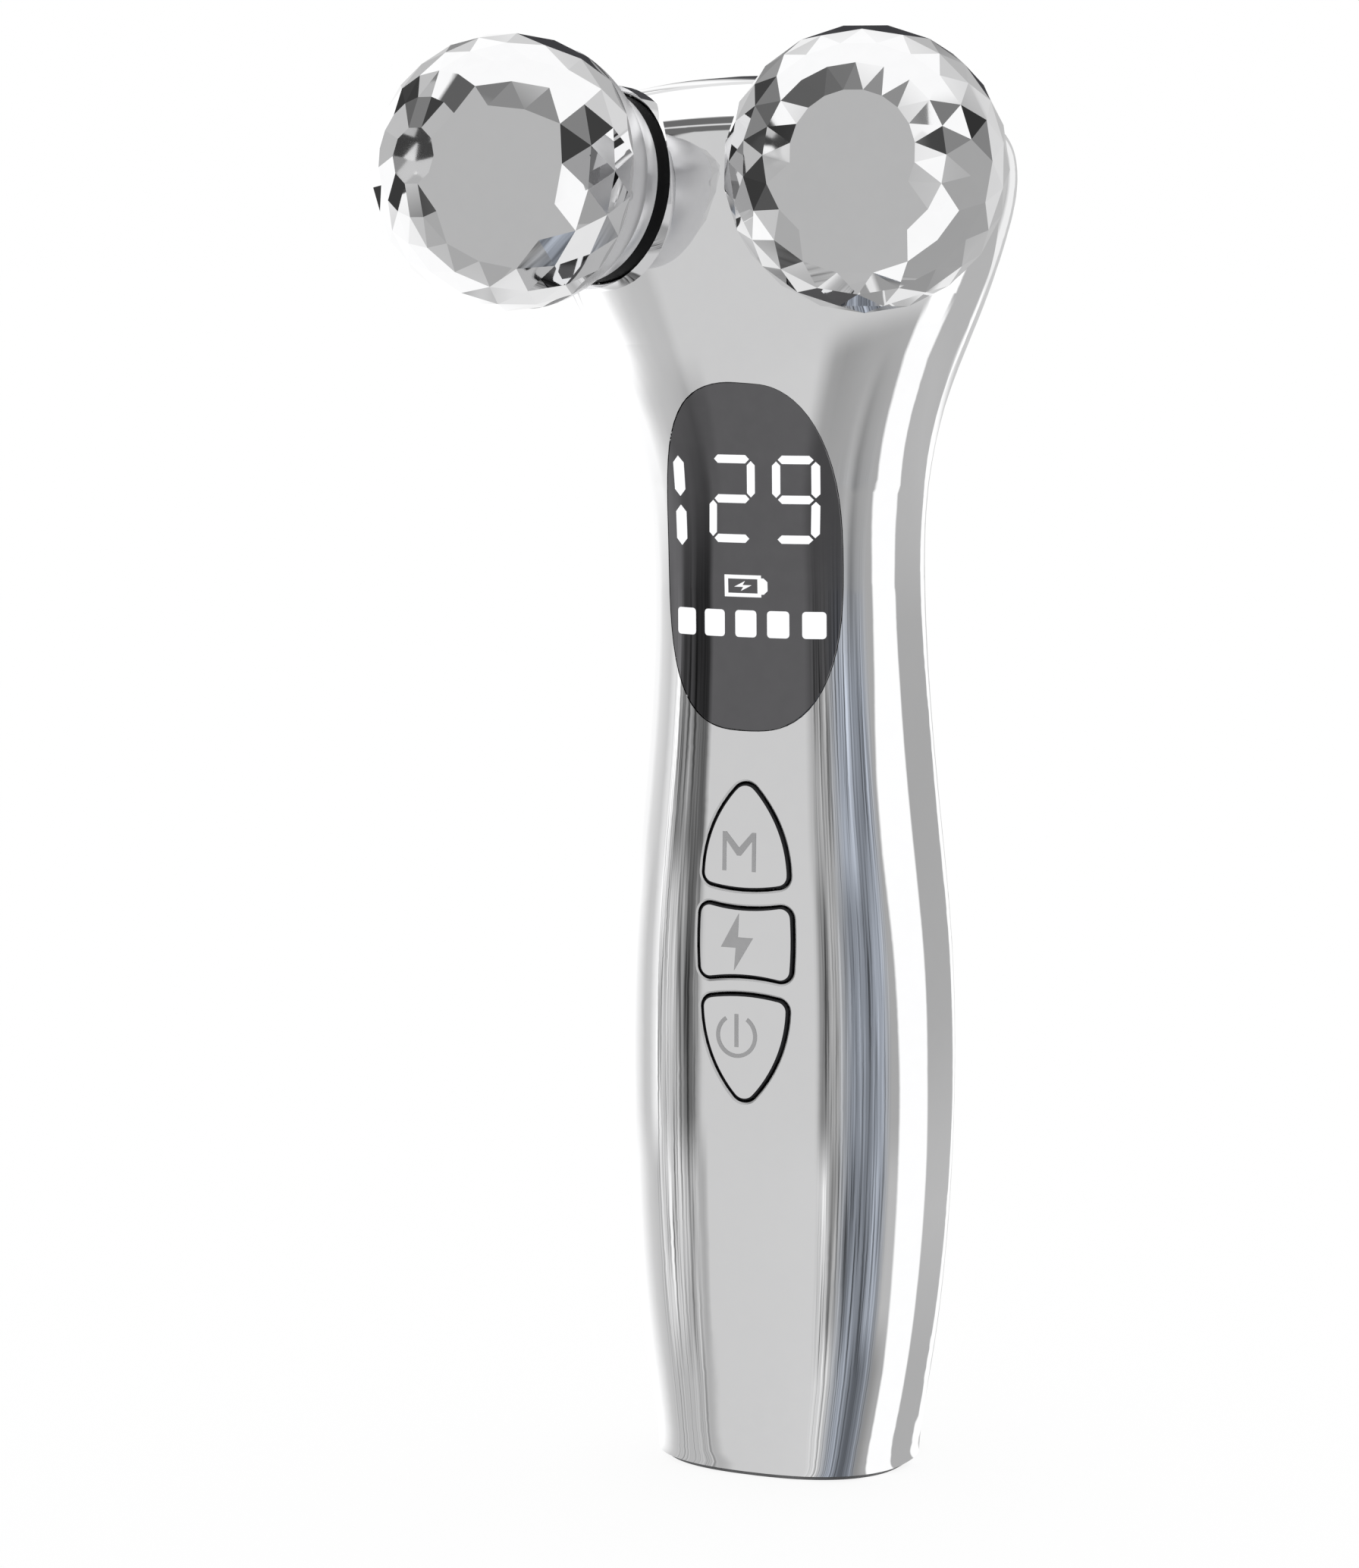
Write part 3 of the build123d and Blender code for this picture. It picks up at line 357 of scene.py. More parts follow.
def polish(piece):
    """Shade the skin of a plated piece as the smooth body and its rims as rounded edges."""
    pick(piece)
    bpy.ops.object.shade_smooth_by_angle(angle=radians(SMOOTH_ANGLE))
    mesh = piece.data
    normals = mesh_values(mesh.corner_normals, "vector", 3)
    places = mesh_values(mesh.vertices, "co", 3)
    faces = mesh_values(mesh.polygons, "normal", 3)
    centres = mesh_values(mesh.polygons, "center", 3)
    areas = mesh_values(mesh.polygons, "area", 1)
    corners = mesh_numbers(mesh.loops, "vertex_index")
    face_of_corner = np.repeat(np.arange(len(faces)), mesh_numbers(mesh.polygons, "loop_total"))
    at_corner, off_corner = body_normals(places.astype(float) / MM)
    at_centre, off_centre = body_normals(centres.astype(float) / MM)
    facing = (at_centre * faces).sum(axis=1)
    worst = off_centre.copy()
    np.maximum.at(worst, face_of_corner, off_corner[corners])
    skin = (worst < SKIN_DEPTH) & (facing > SKIN_TURN) & ~in_a_seat(centres / MM)
    rim = (worst < RIM_DEPTH) & (facing > RIM_TURN) & ~skin & (centres[:, 2] < RIM_TOP * MM)
    rim &= centres[:, 1] < 0
    sides = np.zeros_like(places)
    leaning = (faces - facing[:, None] * at_centre) * areas
    on_rim = rim[face_of_corner]
    np.add.at(sides, corners[on_rim], leaning[face_of_corner[on_rim]])
    if on_rim.any():
        sides = even_out(places, sides, np.unique(corners[on_rim]).tolist())
    rounded = at_corner * cos(radians(RIM_LEAN)) + sides * sin(radians(RIM_LEAN))
    on_skin = skin[face_of_corner]
    for seat, straight in seat_normals(centres / MM, places / MM, faces):
        on_seat = seat[face_of_corner]
        normals[on_seat] = straight[corners[on_seat]]
    normals[on_skin] = at_corner[corners[on_skin]]
    normals[on_rim] = rounded[corners[on_rim]]
    mesh.normals_split_custom_set(normals.tolist())
    return skin, rim


def copy_of(node, name):
    """A copy of a piece of the device with its loose triangles joined up."""
    piece = bpy.data.objects.new(name, frame["nodes"][node].data.copy())
    bpy.context.scene.collection.objects.link(piece)
    pick(piece)
    bpy.ops.object.mode_set(mode="EDIT")
    bpy.ops.mesh.select_all(action="SELECT")
    bpy.ops.mesh.remove_doubles(threshold=1e-6)
    bpy.ops.object.mode_set(mode="OBJECT")
    return piece


def stand_in(piece, node, body):
    """Let a piece stand for a node of the device."""
    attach(piece, body)
    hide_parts(node)
    return piece


def paint_some(piece, found, material):
    """Give some faces of a piece one more finish."""
    slots = mesh_numbers(piece.data.polygons, "material_index")
    slots[found] = len(piece.data.materials)
    piece.data.materials.append(material)
    piece.data.polygons.foreach_set("material_index", slots)
    piece.data.update()


def plated(node, name, material, body):
    """A polished copy that stands for a plated piece of the device."""
    piece = copy_of(node, name)
    if node in ("front_shell", "display_window"):
        fuller_window(piece)
    skin, rim = polish(piece)
    paint(piece, material)
    across, front, height = (mesh_values(piece.data.polygons, "center", 3) / MM).T
    by_buttons = (np.abs(across) < KEY_REACH) & (front < KEY_BACK)
    by_buttons &= (height > KEY_HEIGHTS[0]) & (height < KEY_HEIGHTS[1])
    # Painted shade: the walls of the button holes and the caps' rims and walls are dark, as the gaps lie in
    # shade.
    if node == "front_shell":
        paint_some(piece, rim & by_buttons, SOFT_RIM)
        paint_some(piece, ~rim & ~skin & by_buttons, PAINTED_GAP_SHADE)
    elif node.endswith("_button"):
        paint_some(piece, ~skin & by_buttons, PAINTED_GAP_SHADE)
    return stand_in(piece, node, body)


def make_roller(side, name, material, body):
    """A roller whose plain band reaches down over the seal ring as a thin skirt."""
    node = name + "_ball"
    ball = copy_of(node, name + "_roller_shell")
    paint(ball, material)
    deselect_all()
    bpy.ops.mesh.primitive_cylinder_add(
        vertices=SKIRT_SIDES, radius=SKIRT_RADIUS * MM, end_fill_type="NOTHING",
        depth=(SKIRT_TOP - SKIRT_BOTTOM) * MM, location=(0, 0, (SKIRT_TOP + SKIRT_BOTTOM) / 2 * MM))
    skirt = bpy.context.object
    bpy.ops.object.transform_apply(location=True)
    wall = skirt.modifiers.new("wall", "SOLIDIFY")
    wall.thickness = SKIRT_WALL * MM
    wall.offset = -1
    edge = skirt.modifiers.new("edge", "BEVEL")
    edge.width = SKIRT_WALL * MM / 3
    edge.segments = 2
    apply_all(skirt)
    bpy.ops.object.shade_smooth_by_angle(angle=radians(SKIRT_SMOOTH))
    centre, outward = roller_axis(side)
    skirt.location = centre * MM
    skirt.rotation_mode = "QUATERNION"
    skirt.rotation_quaternion = outward.to_track_quat("Z", "Y")
    bpy.ops.object.transform_apply(location=True, rotation=True)
    paint(skirt, SATIN_BAND)
    from_centre = mesh_values(ball.data.polygons, "center", 3) / MM - np.array(centre)
    along = from_centre @ np.array(outward)
    away = np.linalg.norm(from_centre, axis=1)
    paint_some(ball, (along < BAND_TOP) & (away > BAND_REACH), SATIN_BAND)
    join([ball, skirt], name + "_roller_shell")
    return stand_in(ball, node, body)


# ---- signs ----

def flat_sign(outline):
    """A flat face in front of the device with its corners at (x, z) places."""
    deselect_all()
    bpy.ops.mesh.primitive_circle_add(vertices=len(outline), radius=MM, fill_type="NGON")
    piece = bpy.context.object
    bpy.ops.object.mode_set(mode="EDIT")
    mesh = bmesh.from_edit_mesh(piece.data)
    for corner, (x, z) in zip(mesh.verts, outline):
        corner.co = Vector((x, SIGN_FRONT, z)) * MM
    bmesh.update_edit_mesh(piece.data)
    bpy.ops.object.mode_set(mode="OBJECT")
    return piece


def moved(outline, x, z):
    """An outline at another place."""
    return [(x + across, z + up) for across, up in outline]


def bar(start, end, stroke, tip=0.0):
    """The outline of a straight stroke; a tip draws each end to a point."""
    first, last = Vector(start), Vector(end)
    along = (last - first).normalized()
    side = Vector((-along.y, along.x)) * stroke / 2
    point = along * tip
    if not tip:
        return [first + side, first - side, last - side, last + side]
    return [first + side + point, first, first - side + point, last - side - point, last, last + side - point]


def arc(centre, radius, start, end, steps):
    """Points along an arc; angles in degrees from straight up, clockwise."""
    return [(centre[0] + radius * sin(radians(start + (end - start) * step / steps)),
             centre[1] + radius * cos(radians(start + (end - start) * step / steps)))
            for step in range(steps + 1)]


def rounded_box(x, z, half_width, half_height, corner):
    """A box outline with round corners."""
    points = []
    for turn, across, up in ((0, 1, 1), (90, 1, -1), (180, -1, -1), (270, -1, 1)):
        centre = (x + across * (half_width - corner), z + up * (half_height - corner))
        points += arc(centre, corner, turn, turn + 90, 4)
    return points


def digit_outlines(digit, x, half, tall=DIGIT_HALF_HEIGHT, gap=DIGIT_GAP, stroke=DIGIT_STROKE):
    """The lit segments of one digit."""
    lines = {
        "a": ((-half + gap, tall), (half - gap, tall)), "g": ((-half + gap, 0), (half - gap, 0)),
        "d": ((-half + gap, -tall), (half - gap, -tall)),
        "b": ((half, gap), (half, tall - gap)), "c": ((half, gap - tall), (half, -gap)),
        "f": ((-half, gap), (-half, tall - gap)), "e": ((-half, gap - tall), (-half, -gap)),
    }
    outlines = []
    for segment in SEGMENTS[digit]:
        start, end = lines[segment]
        outlines.append(bar(start, end, stroke, tip=stroke / 2))
    return [[(x + px + DIGIT_SLANT * pz, DIGIT_CENTRE_Z + pz) for px, pz in outline] for outline in outlines]


def display_outlines():
    """Everything that is lit behind the window."""
    one = digit_outlines("1", ONE_X, 0.0, ONE_HALF_HEIGHT, ONE_GAP, ONE_STROKE)
    outlines = [[(x - ONE_LEAN * (z - DIGIT_CENTRE_Z), z - ONE_DROP) for x, z in outline] for outline in one]
    for digit, (x, half) in DIGIT_PLACES.items():
        outlines += digit_outlines(digit, x, half)
    for x in LEVEL_XS:
        outlines.append(rounded_box(x, LEVEL_Z, LEVEL_HALF_WIDTH, LEVEL_HALF_HEIGHT, LEVEL_CORNER))
    left, right, z, tall, line = BATTERY_LEFT, BATTERY_RIGHT, BATTERY_Z, BATTERY_HALF_HEIGHT, BATTERY_LINE
    for level in (z + tall - line / 2, z - tall + line / 2):
        outlines.append(bar((left, level), (right, level), line))
    for x in (left + line / 2, right - line / 2):
        outlines.append(bar((x, z - tall + line), (x, z + tall - line), line))
    return outlines + [moved(BATTERY_CAP, right, z), moved(SMALL_BOLT, left, z)]


def power_outlines():
    """An open ring with an upright bar."""
    outer, inner = POWER_RING_RADIUS + ICON_STROKE / 2, POWER_RING_RADIUS - ICON_STROKE / 2
    turns = (POWER_RING_GAP, 360 - POWER_RING_GAP, POWER_RING_STEPS)
    ring = arc(POWER_ICON, outer, *turns)
    ring += reversed(arc(POWER_ICON, inner, *turns))
    x, z = POWER_ICON
    low, high = POWER_BAR
    return [ring, bar((x, z + low), (x, z + high), ICON_STROKE)]


def draped_sign(name, outlines, carrier, material, body):
    """Flat outlines laid on a curved piece as one thin sign."""
    sign = join([flat_sign(outline) for outline in outlines], name)
    pick(sign)
    bpy.ops.object.mode_set(mode="EDIT")
    reach_x = max(abs(corner[0]) for outline in outlines for corner in outline)
    steps = int(reach_x / DRAPE_STEP) + 1
    for step in range(-steps, steps + 1):
        bpy.ops.mesh.select_all(action="SELECT")
        bpy.ops.mesh.bisect(plane_co=(step * DRAPE_STEP * MM, 0, 0), plane_no=(1, 0, 0))
    bpy.ops.mesh.select_all(action="SELECT")
    bpy.ops.mesh.quads_convert_to_tris()
    bpy.ops.mesh.normals_make_consistent(inside=False)
    bpy.ops.object.mode_set(mode="OBJECT")
    drape = sign.modifiers.new("drape", "SHRINKWRAP")
    drape.wrap_method = "PROJECT"
    drape.use_project_y = True
    drape.target = carrier
    body_of_sign = sign.modifiers.new("thickness", "SOLIDIFY")
    body_of_sign.thickness = 2 * SIGN_THICKNESS * MM
    body_of_sign.offset = 0
    apply_all(sign)
    paint(sign, material)
    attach(sign, body)
    return sign


# ---- helpers for materials ----
HAZE_CONTRAST = 3.2
HAZE_BASE = -0.3
HAIRLINE_STRETCH = (1, 1, 0.03)


def new_material(name):
    """A node material with its shader, ready for its own nodes."""
    material = bpy.data.materials.new(name)
    material.use_nodes = True
    return material, material.node_tree


def plug(tree, node, inputs):
    """Give a node's inputs their values; a socket is linked and anything else is set."""
    for label, value in inputs.items():
        if isinstance(value, bpy.types.NodeSocket):
            tree.links.new(value, node.inputs[label])
        else:
            node.inputs[label].default_value = value


def add_node(tree, kind, inputs, **settings):
    """A shader node with its settings and its inputs."""
    node = tree.nodes.new("ShaderNode" + kind)
    for setting, value in settings.items():
        setattr(node, setting, value)
    plug(tree, node, inputs)
    return node


def math_node(tree, operation, *inputs):
    """A Math node on values or sockets."""
    return add_node(tree, "Math", dict(enumerate(inputs)), operation=operation).outputs[0]


def product(tree, first, *others):
    """Several masks multiplied together."""
    for other in others:
        first = math_node(tree, "MULTIPLY", first, other)
    return first


def length_of(tree, vector):
    """The length of a vector."""
    return add_node(tree, "VectorMath", {0: vector}, operation="LENGTH").outputs["Value"]


def ramp(tree, place, stops):
    """A colour ramp with stops of (place, gray or colour), read at a socket."""
    node = add_node(tree, "ValToRGB", {"Fac": place})
    elements = node.color_ramp.elements
    while len(elements) < len(stops):
        elements.new(0.5)
    for element, (position, colour) in zip(elements, sorted(stops, key=lambda stop: stop[0])):
        element.position = position
        element.color = (*(colour if isinstance(colour, tuple) else (colour,) * 3), 1)
    return node.outputs["Color"]


def blend(tree, share, first, second, kind="MIX"):
    """Mix two colours, each a socket or a plain colour."""
    node = add_node(tree, "Mix", {}, data_type="RGBA", blend_type=kind)
    for label, value in (("Factor", share), ("A", first), ("B", second)):
        socket = [entry for entry in node.inputs if entry.name == label and entry.enabled][0]
        if isinstance(value, bpy.types.NodeSocket):
            tree.links.new(value, socket)
        else:
            socket.default_value = value if label == "Factor" else (*value, 1)
    return [result for result in node.outputs if result.enabled][0]


def step_between(tree, value, low, high):
    """A soft step from 0 to 1."""
    return add_node(tree, "MapRange", {"Value": value, "From Min": low, "From Max": high},
                    interpolation_type="SMOOTHSTEP").outputs["Result"]


def new_group(name, inputs):
    """A shader node group with named values going in and one mask coming out."""
    group = bpy.data.node_groups.new(name, "ShaderNodeTree")
    for label, value in inputs.items():
        socket = group.interface.new_socket(label, in_out="INPUT", socket_type="NodeSocketFloat")
        socket.default_value = value
    group.interface.new_socket("Mask", in_out="OUTPUT", socket_type="NodeSocketFloat")
    entry = group.nodes.new("NodeGroupInput")
    leave = group.nodes.new("NodeGroupOutput")
    return group, entry.outputs, leave.inputs["Mask"]


def noise(tree, scale, detail=3.0, stretch=(1, 1, 1)):
    """Noise over the object, stretched along an axis by a small factor."""
    place = add_node(tree, "TexCoord", {}).outputs["Object"]
    spot = add_node(tree, "Mapping", {"Vector": place, "Scale": stretch}).outputs["Vector"]
    return add_node(tree, "TexNoise", {"Vector": spot, "Scale": scale, "Detail": detail}).outputs["Fac"]


def make_fine_grain():
    """Even grain at a chosen scale, such as moulded plastic shows."""
    group, entry, mask = new_group("fine_grain", {"Scale": 2000.0})
    group.links.new(noise(group, entry["Scale"]), mask)
    return group


def make_handling_haze():
    """Soft blotches broken up by a finer veil, as on a plated piece that is held in the hand."""
    group, entry, mask = new_group("handling_haze", {"Blotch Scale": 45.0, "Veil Scale": 600.0})
    blotches = noise(group, entry["Blotch Scale"], 2.0)
    veil = noise(group, entry["Veil Scale"], 4.0)
    wide = math_node(group, "MULTIPLY_ADD", product(group, blotches, veil), HAZE_CONTRAST, HAZE_BASE)
    group.links.new(add_node(group, "Clamp", {"Value": wide}).outputs[0], mask)
    return group


def make_hairlines():
    """Fine drawn lines that run up the piece."""
    group, entry, mask = new_group("hairlines", {"Scale": 1500.0})
    group.links.new(noise(group, entry["Scale"], 4.0, HAIRLINE_STRETCH), mask)
    return group


FINE_GRAIN = make_fine_grain()
HANDLING_HAZE = make_handling_haze()
HAIRLINES = make_hairlines()


def use_group(tree, group, **values):
    """Place a group with its own values and return its mask."""
    inputs = {label.replace("_", " "): value for label, value in values.items()}
    return add_node(tree, "Group", inputs, node_tree=group).outputs["Mask"]


def finish(name, light, dark, roughness, metallic=0.0, grain=FINE_GRAIN, scale=2500.0, depth=0.2,
           lift=0.00003, spread=0.12, haze=45.0, specular=0.5):
    """A worked surface: two close tones, uneven gloss and a grain that shapes the highlights."""
    material, tree = new_material(name)
    veil = use_group(tree, HANDLING_HAZE, Blotch_Scale=haze)
    lines = use_group(tree, grain, Scale=scale)
    relief = add_node(tree, "Bump", {"Strength": depth, "Distance": lift, "Height": lines})
    plug(tree, tree.nodes["Principled BSDF"], {
        "Metallic": metallic, "Specular IOR Level": specular, "Base Color": blend(tree, veil, light, dark),
        "Roughness": math_node(tree, "MULTIPLY_ADD", veil, spread, roughness),
        "Normal": relief.outputs["Normal"],
    })
    return material


# ---- finishes of the pieces ----
# A plated surface ripples slowly and by very little; black trim hardly mirrors.
RIPPLE_SCALE = 90.0
PLATING_RIPPLE = 0.0000012
LENS_RIPPLE = 0.000001
DULL = 0.08
TRACK_SCALE = 160.0
TRACK_WIDTH = 0.03


def metal(name, light, dark, roughness):
    """Turned or drawn metal with hairlines."""
    return finish(name, light, dark, roughness, metallic=1.0, grain=HAIRLINES)


def chrome(name, light, dark, roughness):
    """Bright plating with a trace of handling haze and a slow ripple from the moulding under it."""
    return finish(name, light, dark, roughness, metallic=1.0, scale=RIPPLE_SCALE, depth=1.0,
                  lift=PLATING_RIPPLE, spread=0.012)


def make_display_light():
    """White light that comes through the window."""
    material, tree = new_material("display_light")
    spots = use_group(tree, FINE_GRAIN, Scale=900.0)
    plug(tree, tree.nodes["Principled BSDF"], {
        "Base Color": (0.02, 0.02, 0.02, 1), "Roughness": 0.3, "Emission Strength": 1.0,
        "Emission Color": blend(tree, spots, (0.96, 0.97, 1.0), (1.0, 1.0, 1.0)),
    })
    return material


def make_board_finish():
    """Green lacquer over copper tracks."""
    material = finish("board_green", (0.012, 0.11, 0.045), (0.008, 0.08, 0.03), 0.28, scale=3000.0)
    tree = material.node_tree
    place = add_node(tree, "TexCoord", {}).outputs["Object"]
    turned = add_node(tree, "Mapping", {"Vector": place, "Rotation": (radians(90), 0, 0)})
    tracks = add_node(tree, "TexBrick", {
        "Vector": turned.outputs["Vector"], "Scale": TRACK_SCALE, "Mortar Size": TRACK_WIDTH,
        "Color1": (0, 0, 0, 1), "Color2": (0, 0, 0, 1), "Mortar": (1, 1, 1, 1),
    })
    shader = tree.nodes["Principled BSDF"]
    lacquer = shader.inputs["Base Color"].links[0].from_socket
    plug(tree, shader, {"Base Color": blend(tree, tracks.outputs["Color"], lacquer, (0.05, 0.2, 0.07))})
    return material


def make_finishes():
    """Every finish by its slot in the record."""
    made = [
        chrome("shell_chrome", (0.955, 0.955, 0.96), (0.94, 0.94, 0.946), 0.008),
        chrome("key_chrome", (0.955, 0.955, 0.96), (0.94, 0.94, 0.946), 0.01),
        chrome("roller_chrome", (0.74, 0.74, 0.745), (0.725, 0.725, 0.73), 0.012),
        finish("smoked_lens", (0.172, 0.170, 0.176), (0.160, 0.158, 0.164), 0.02, metallic=1.0,
               scale=RIPPLE_SCALE, depth=1.0, lift=LENS_RIPPLE, spread=0.02),
        finish("ring_black", (0.003, 0.003, 0.0035), (0.005, 0.005, 0.0055), 0.4, scale=1800.0,
               specular=DULL),
        finish("seal_rubber", (0.02, 0.02, 0.021), (0.032, 0.032, 0.033), 0.55),
        finish("cap_plastic", (0.11, 0.11, 0.113), (0.15, 0.15, 0.154), 0.4, scale=3200.0),
        metal("hub_aluminium", (0.80, 0.81, 0.82), (0.70, 0.71, 0.73), 0.24),
        metal("brass", (0.86, 0.62, 0.28), (0.72, 0.48, 0.2), 0.22),
        metal("steel", (0.72, 0.73, 0.74), (0.58, 0.59, 0.61), 0.2),
        finish("bracket_nylon", (0.055, 0.057, 0.06), (0.08, 0.082, 0.086), 0.5, depth=0.4),
        finish("cell_can", (0.05, 0.16, 0.34), (0.04, 0.13, 0.28), 0.3, scale=1200.0),
        finish("keypad_silicone", (0.46, 0.47, 0.47), (0.39, 0.40, 0.40), 0.6, depth=0.3),
        finish("switch_plastic", (0.03, 0.03, 0.032), (0.05, 0.05, 0.052), 0.4),
        make_board_finish(),
        finish("light_box_white", (0.78, 0.78, 0.76), (0.70, 0.70, 0.68), 0.45),
        finish("ferrite", (0.045, 0.043, 0.042), (0.075, 0.07, 0.068), 0.62, scale=4200.0, depth=0.5),
        metal("socket_nickel", (0.70, 0.69, 0.66), (0.60, 0.59, 0.57), 0.24),
        finish("lead_pvc", (0.52, 0.03, 0.025), (0.42, 0.02, 0.018), 0.38, scale=2200.0),
    ]
    # Blender adds a number to a name that the frame's own materials already have.
    return {material.name.split(".")[0]: material for material in made}


# ---- studio: what the chrome mirrors ----
# Panels stand round the handle at azimuths in degrees: 0 is the front, 90 the right, -90 the left.
# Each stop is an azimuth and how bright the panel is there.
WHITE = 1.05
FAR_WHITE = 1.3
GRAY_CARD = 0.62
SIDE_CARD = 0.47
REAR_CARD = 0.60
COOL = (0.92, 1.0, 1.14)
REAR = [(-180, REAR_CARD), (-168, REAR_CARD)]
FOOT_PANELS = REAR + [
    (-165, WHITE), (-92, WHITE), (-80, 0.80), (-72, 0.60), (-60, 0.46), (-43, 0.47), (-38, 0.41), (-33, 0.46),
    (-29, GRAY_CARD), (24, 0.65), (28, 0.50), (33, 0.37), (40, 0.32), (45, 0.20), (50, 0.11), (54, 0.14),
    (60, 0.24), (68, 0.29), (75, 0.40),
]
LOW_PANELS = REAR + [
    (-165, WHITE), (-92, WHITE), (-84, 0.86), (-75, 0.64), (-64, 0.51), (-60, 0.55), (-56, 0.70), (-52, 0.57),
    (-46, 0.58), (-43, 0.37), (-38, 0.46), (-33, 0.41), (-31, GRAY_CARD), (18, 0.64), (22, 0.62), (25, 0.20),
    (29, 0.34), (33, 0.35), (37, 0.21), (44, 0.24), (49, 0.18), (54, 0.34), (57, 0.42), (62, 0.24),
    (68, 0.50),
]
BELLY_PANELS = REAR + [
    (-165, WHITE), (-98, WHITE), (-88, 0.84), (-78, 0.58), (-72, 0.60), (-66, 0.90), (-62, 0.84), (-58, 0.44),
    (-55, 0.56), (-49, 0.38), (-46, 0.34), (-43, 0.12), (-39, 0.13), (-37, 0.28), (-33.5, GRAY_CARD),
    (15, GRAY_CARD), (18, 0.22), (22, 0.27), (26, 0.38), (32, 0.32), (38, 0.23), (43, 0.27), (50, 0.19),
    (56, 0.33), (65, 0.40),
]
WAIST_PANELS = REAR + [
    (-165, WHITE), (-100, 0.98), (-90, 0.76), (-74, 0.60), (-68, 0.80), (-61, 0.78), (-57, 0.24), (-53, 0.20),
    (-49, 0.31), (-45, 0.11), (-41, 0.13), (-37, 0.07), (-34, GRAY_CARD), (13, GRAY_CARD), (18, 0.40),
    (21, 0.34), (26, 0.40), (40, 0.36), (44, 0.48), (47, 0.35), (50, 0.15), (55, 0.30), (63, 0.40),
]
NECK_PANELS = REAR + [
    (-165, WHITE), (-78, WHITE), (-70, 0.78), (-64, 0.62), (-57, 0.54), (-49, 0.50), (-43, 0.46),
    (-39.5, 0.40), (-36, 0.48), (-31, 0.52), (-28, GRAY_CARD), (15, 0.64), (19, 0.50), (23, 0.36), (28, 0.33),
    (33, 0.35), (40, 0.39), (58, 0.42),
]
TABLE_PANELS = REAR + [
    (-163, FAR_WHITE), (-82, FAR_WHITE), (-70, 0.78), (-64, 0.62), (-57, 0.54), (-48, 0.52), (-44, GRAY_CARD),
    (67, GRAY_CARD), (71, FAR_WHITE), (94, FAR_WHITE), (98, SIDE_CARD), (155, SIDE_CARD), (162, FAR_WHITE),
    (165, FAR_WHITE), (168, REAR_CARD),
]
TENT_PANELS = REAR + [
    (-163, 0.9), (-112, FAR_WHITE), (-104, 0.66), (-76, 0.70), (-70, 0.12), (-50, 0.10), (-46, GRAY_CARD),
    (68, GRAY_CARD), (73, FAR_WHITE), (90, FAR_WHITE), (95, 0.5), (135, 0.5), (146, 0.9), (165, 0.9),
    (168, REAR_CARD),
]
BEHIND_PANELS = [(160, WHITE), (165, WHITE), (168, REAR_CARD)]
# Heights in millimetres at which one set of panels fades into the next above it.
FADES = [(1, 11), (27, 37), (62, 72), (95, 111)]
TABLE_FADE = (111, 118)
NECK_FADE = (104, 88)
# Borders of the white panel on the right, of the gray one behind it and of the white behind that:
# each is a height in millimetres and the azimuth of the border there.
WHITE_FROM = [
    (0, 78.5), (6, 77.5), (18, 76), (40, 75), (52, 72.8), (60, 71.4), (66, 69.9), (72, 68.7), (80, 68.8),
    (86, 70.8), (91, 73), (95, 73.7), (98, 73), (100, 71.2), (102, 68), (104, 64.9), (107, 62.3), (112, 61.6),
]
GRAY_FROM = [
    (0, 112), (30, 110), (42, 107.5), (66, 106), (90, 106.5), (97, 105), (100, 101), (102, 97), (103, 93.5),
    (104, 89.5), (106, 86), (112, 84),
]
WHITE_AGAIN = [
    (0, 147), (16, 150), (36, 153), (50, 149), (70, 149), (84, 154), (92, 151), (100, 148), (106, 147),
    (109, 140), (114, 134),
]
BORDER = 2.2
# How bright the gray panel is at each height.
SIDE_SHADES = [
    (0, 0.43), (12, 0.47), (22, 0.50), (32, 0.48), (48, 0.42), (80, 0.40), (95, 0.41), (101, 0.46),
    (106, 0.49), (112, SIDE_CARD),
]
# Azimuths between which the curtain is threaded with fine streaks, and where it is cool: each begins,
# is full, is full for the last time and ends.
THREADED = [(-67, -63, -38, -35), (16, 20, 62, 67)]
COOLED = (28, 38, 60, 67)
THREADS_ROUND = 230.0
THREADS_UP = 30.0
THREAD_SHADES = [(0.30, 0.22), (0.40, 0.65), (0.47, 1.0), (0.58, 1.2), (0.66, 1.6)]
# How many degrees the panels turn on the floor half way in, and the share of it nearer or farther.
FAN = [
    (-180, 0), (-125, -24), (-100, -26.5), (-90, -25.9), (-80, -22.8), (-70, -17.7), (-60, -13.4),
    (-50, -10.1), (-40, -8), (-30, -7), (-20, -7.1), (-10, -8.6), (0, -9.2), (10, -9.2), (20, -8.1),
    (30, -5.6), (40, -2.1), (50, 2.6), (60, 8.6), (70, 14.3), (80, 20), (90, 23.5), (100, 26.5),
    (125, 28.7), (180, 0),
]
FAN_SHARE = [
    (0.24, 2.7), (0.34, 2.2), (0.38, 1.8), (0.42, 1.35), (0.476, 1.0), (0.571, 0.58), (0.667, 0.35),
    (0.762, 0.21), (0.857, 0.11), (1.0, 0.0),
]
# The same at the curtain's upper edge, where it hands over to the far table.
TOP_FAN = [
    (-180, 0), (-125, -25), (-110, -24.5), (-90, -19.6), (-80, -16.1), (-70, -12.6), (-60, -9.8), (-50, -8.1),
    (-40, -7.3), (-30, -7.6), (-20, -9), (-10, -10.4), (0, -11.1), (20, -10.7), (30, -9.2), (40, -6.7),
    (50, -2.7), (60, 2.7), (70, 9.2), (80, 15.8), (90, 21.6), (100, 25.8), (110, 28.5), (140, 27.9), (180, 0),
]
FAN_RANGE = 80
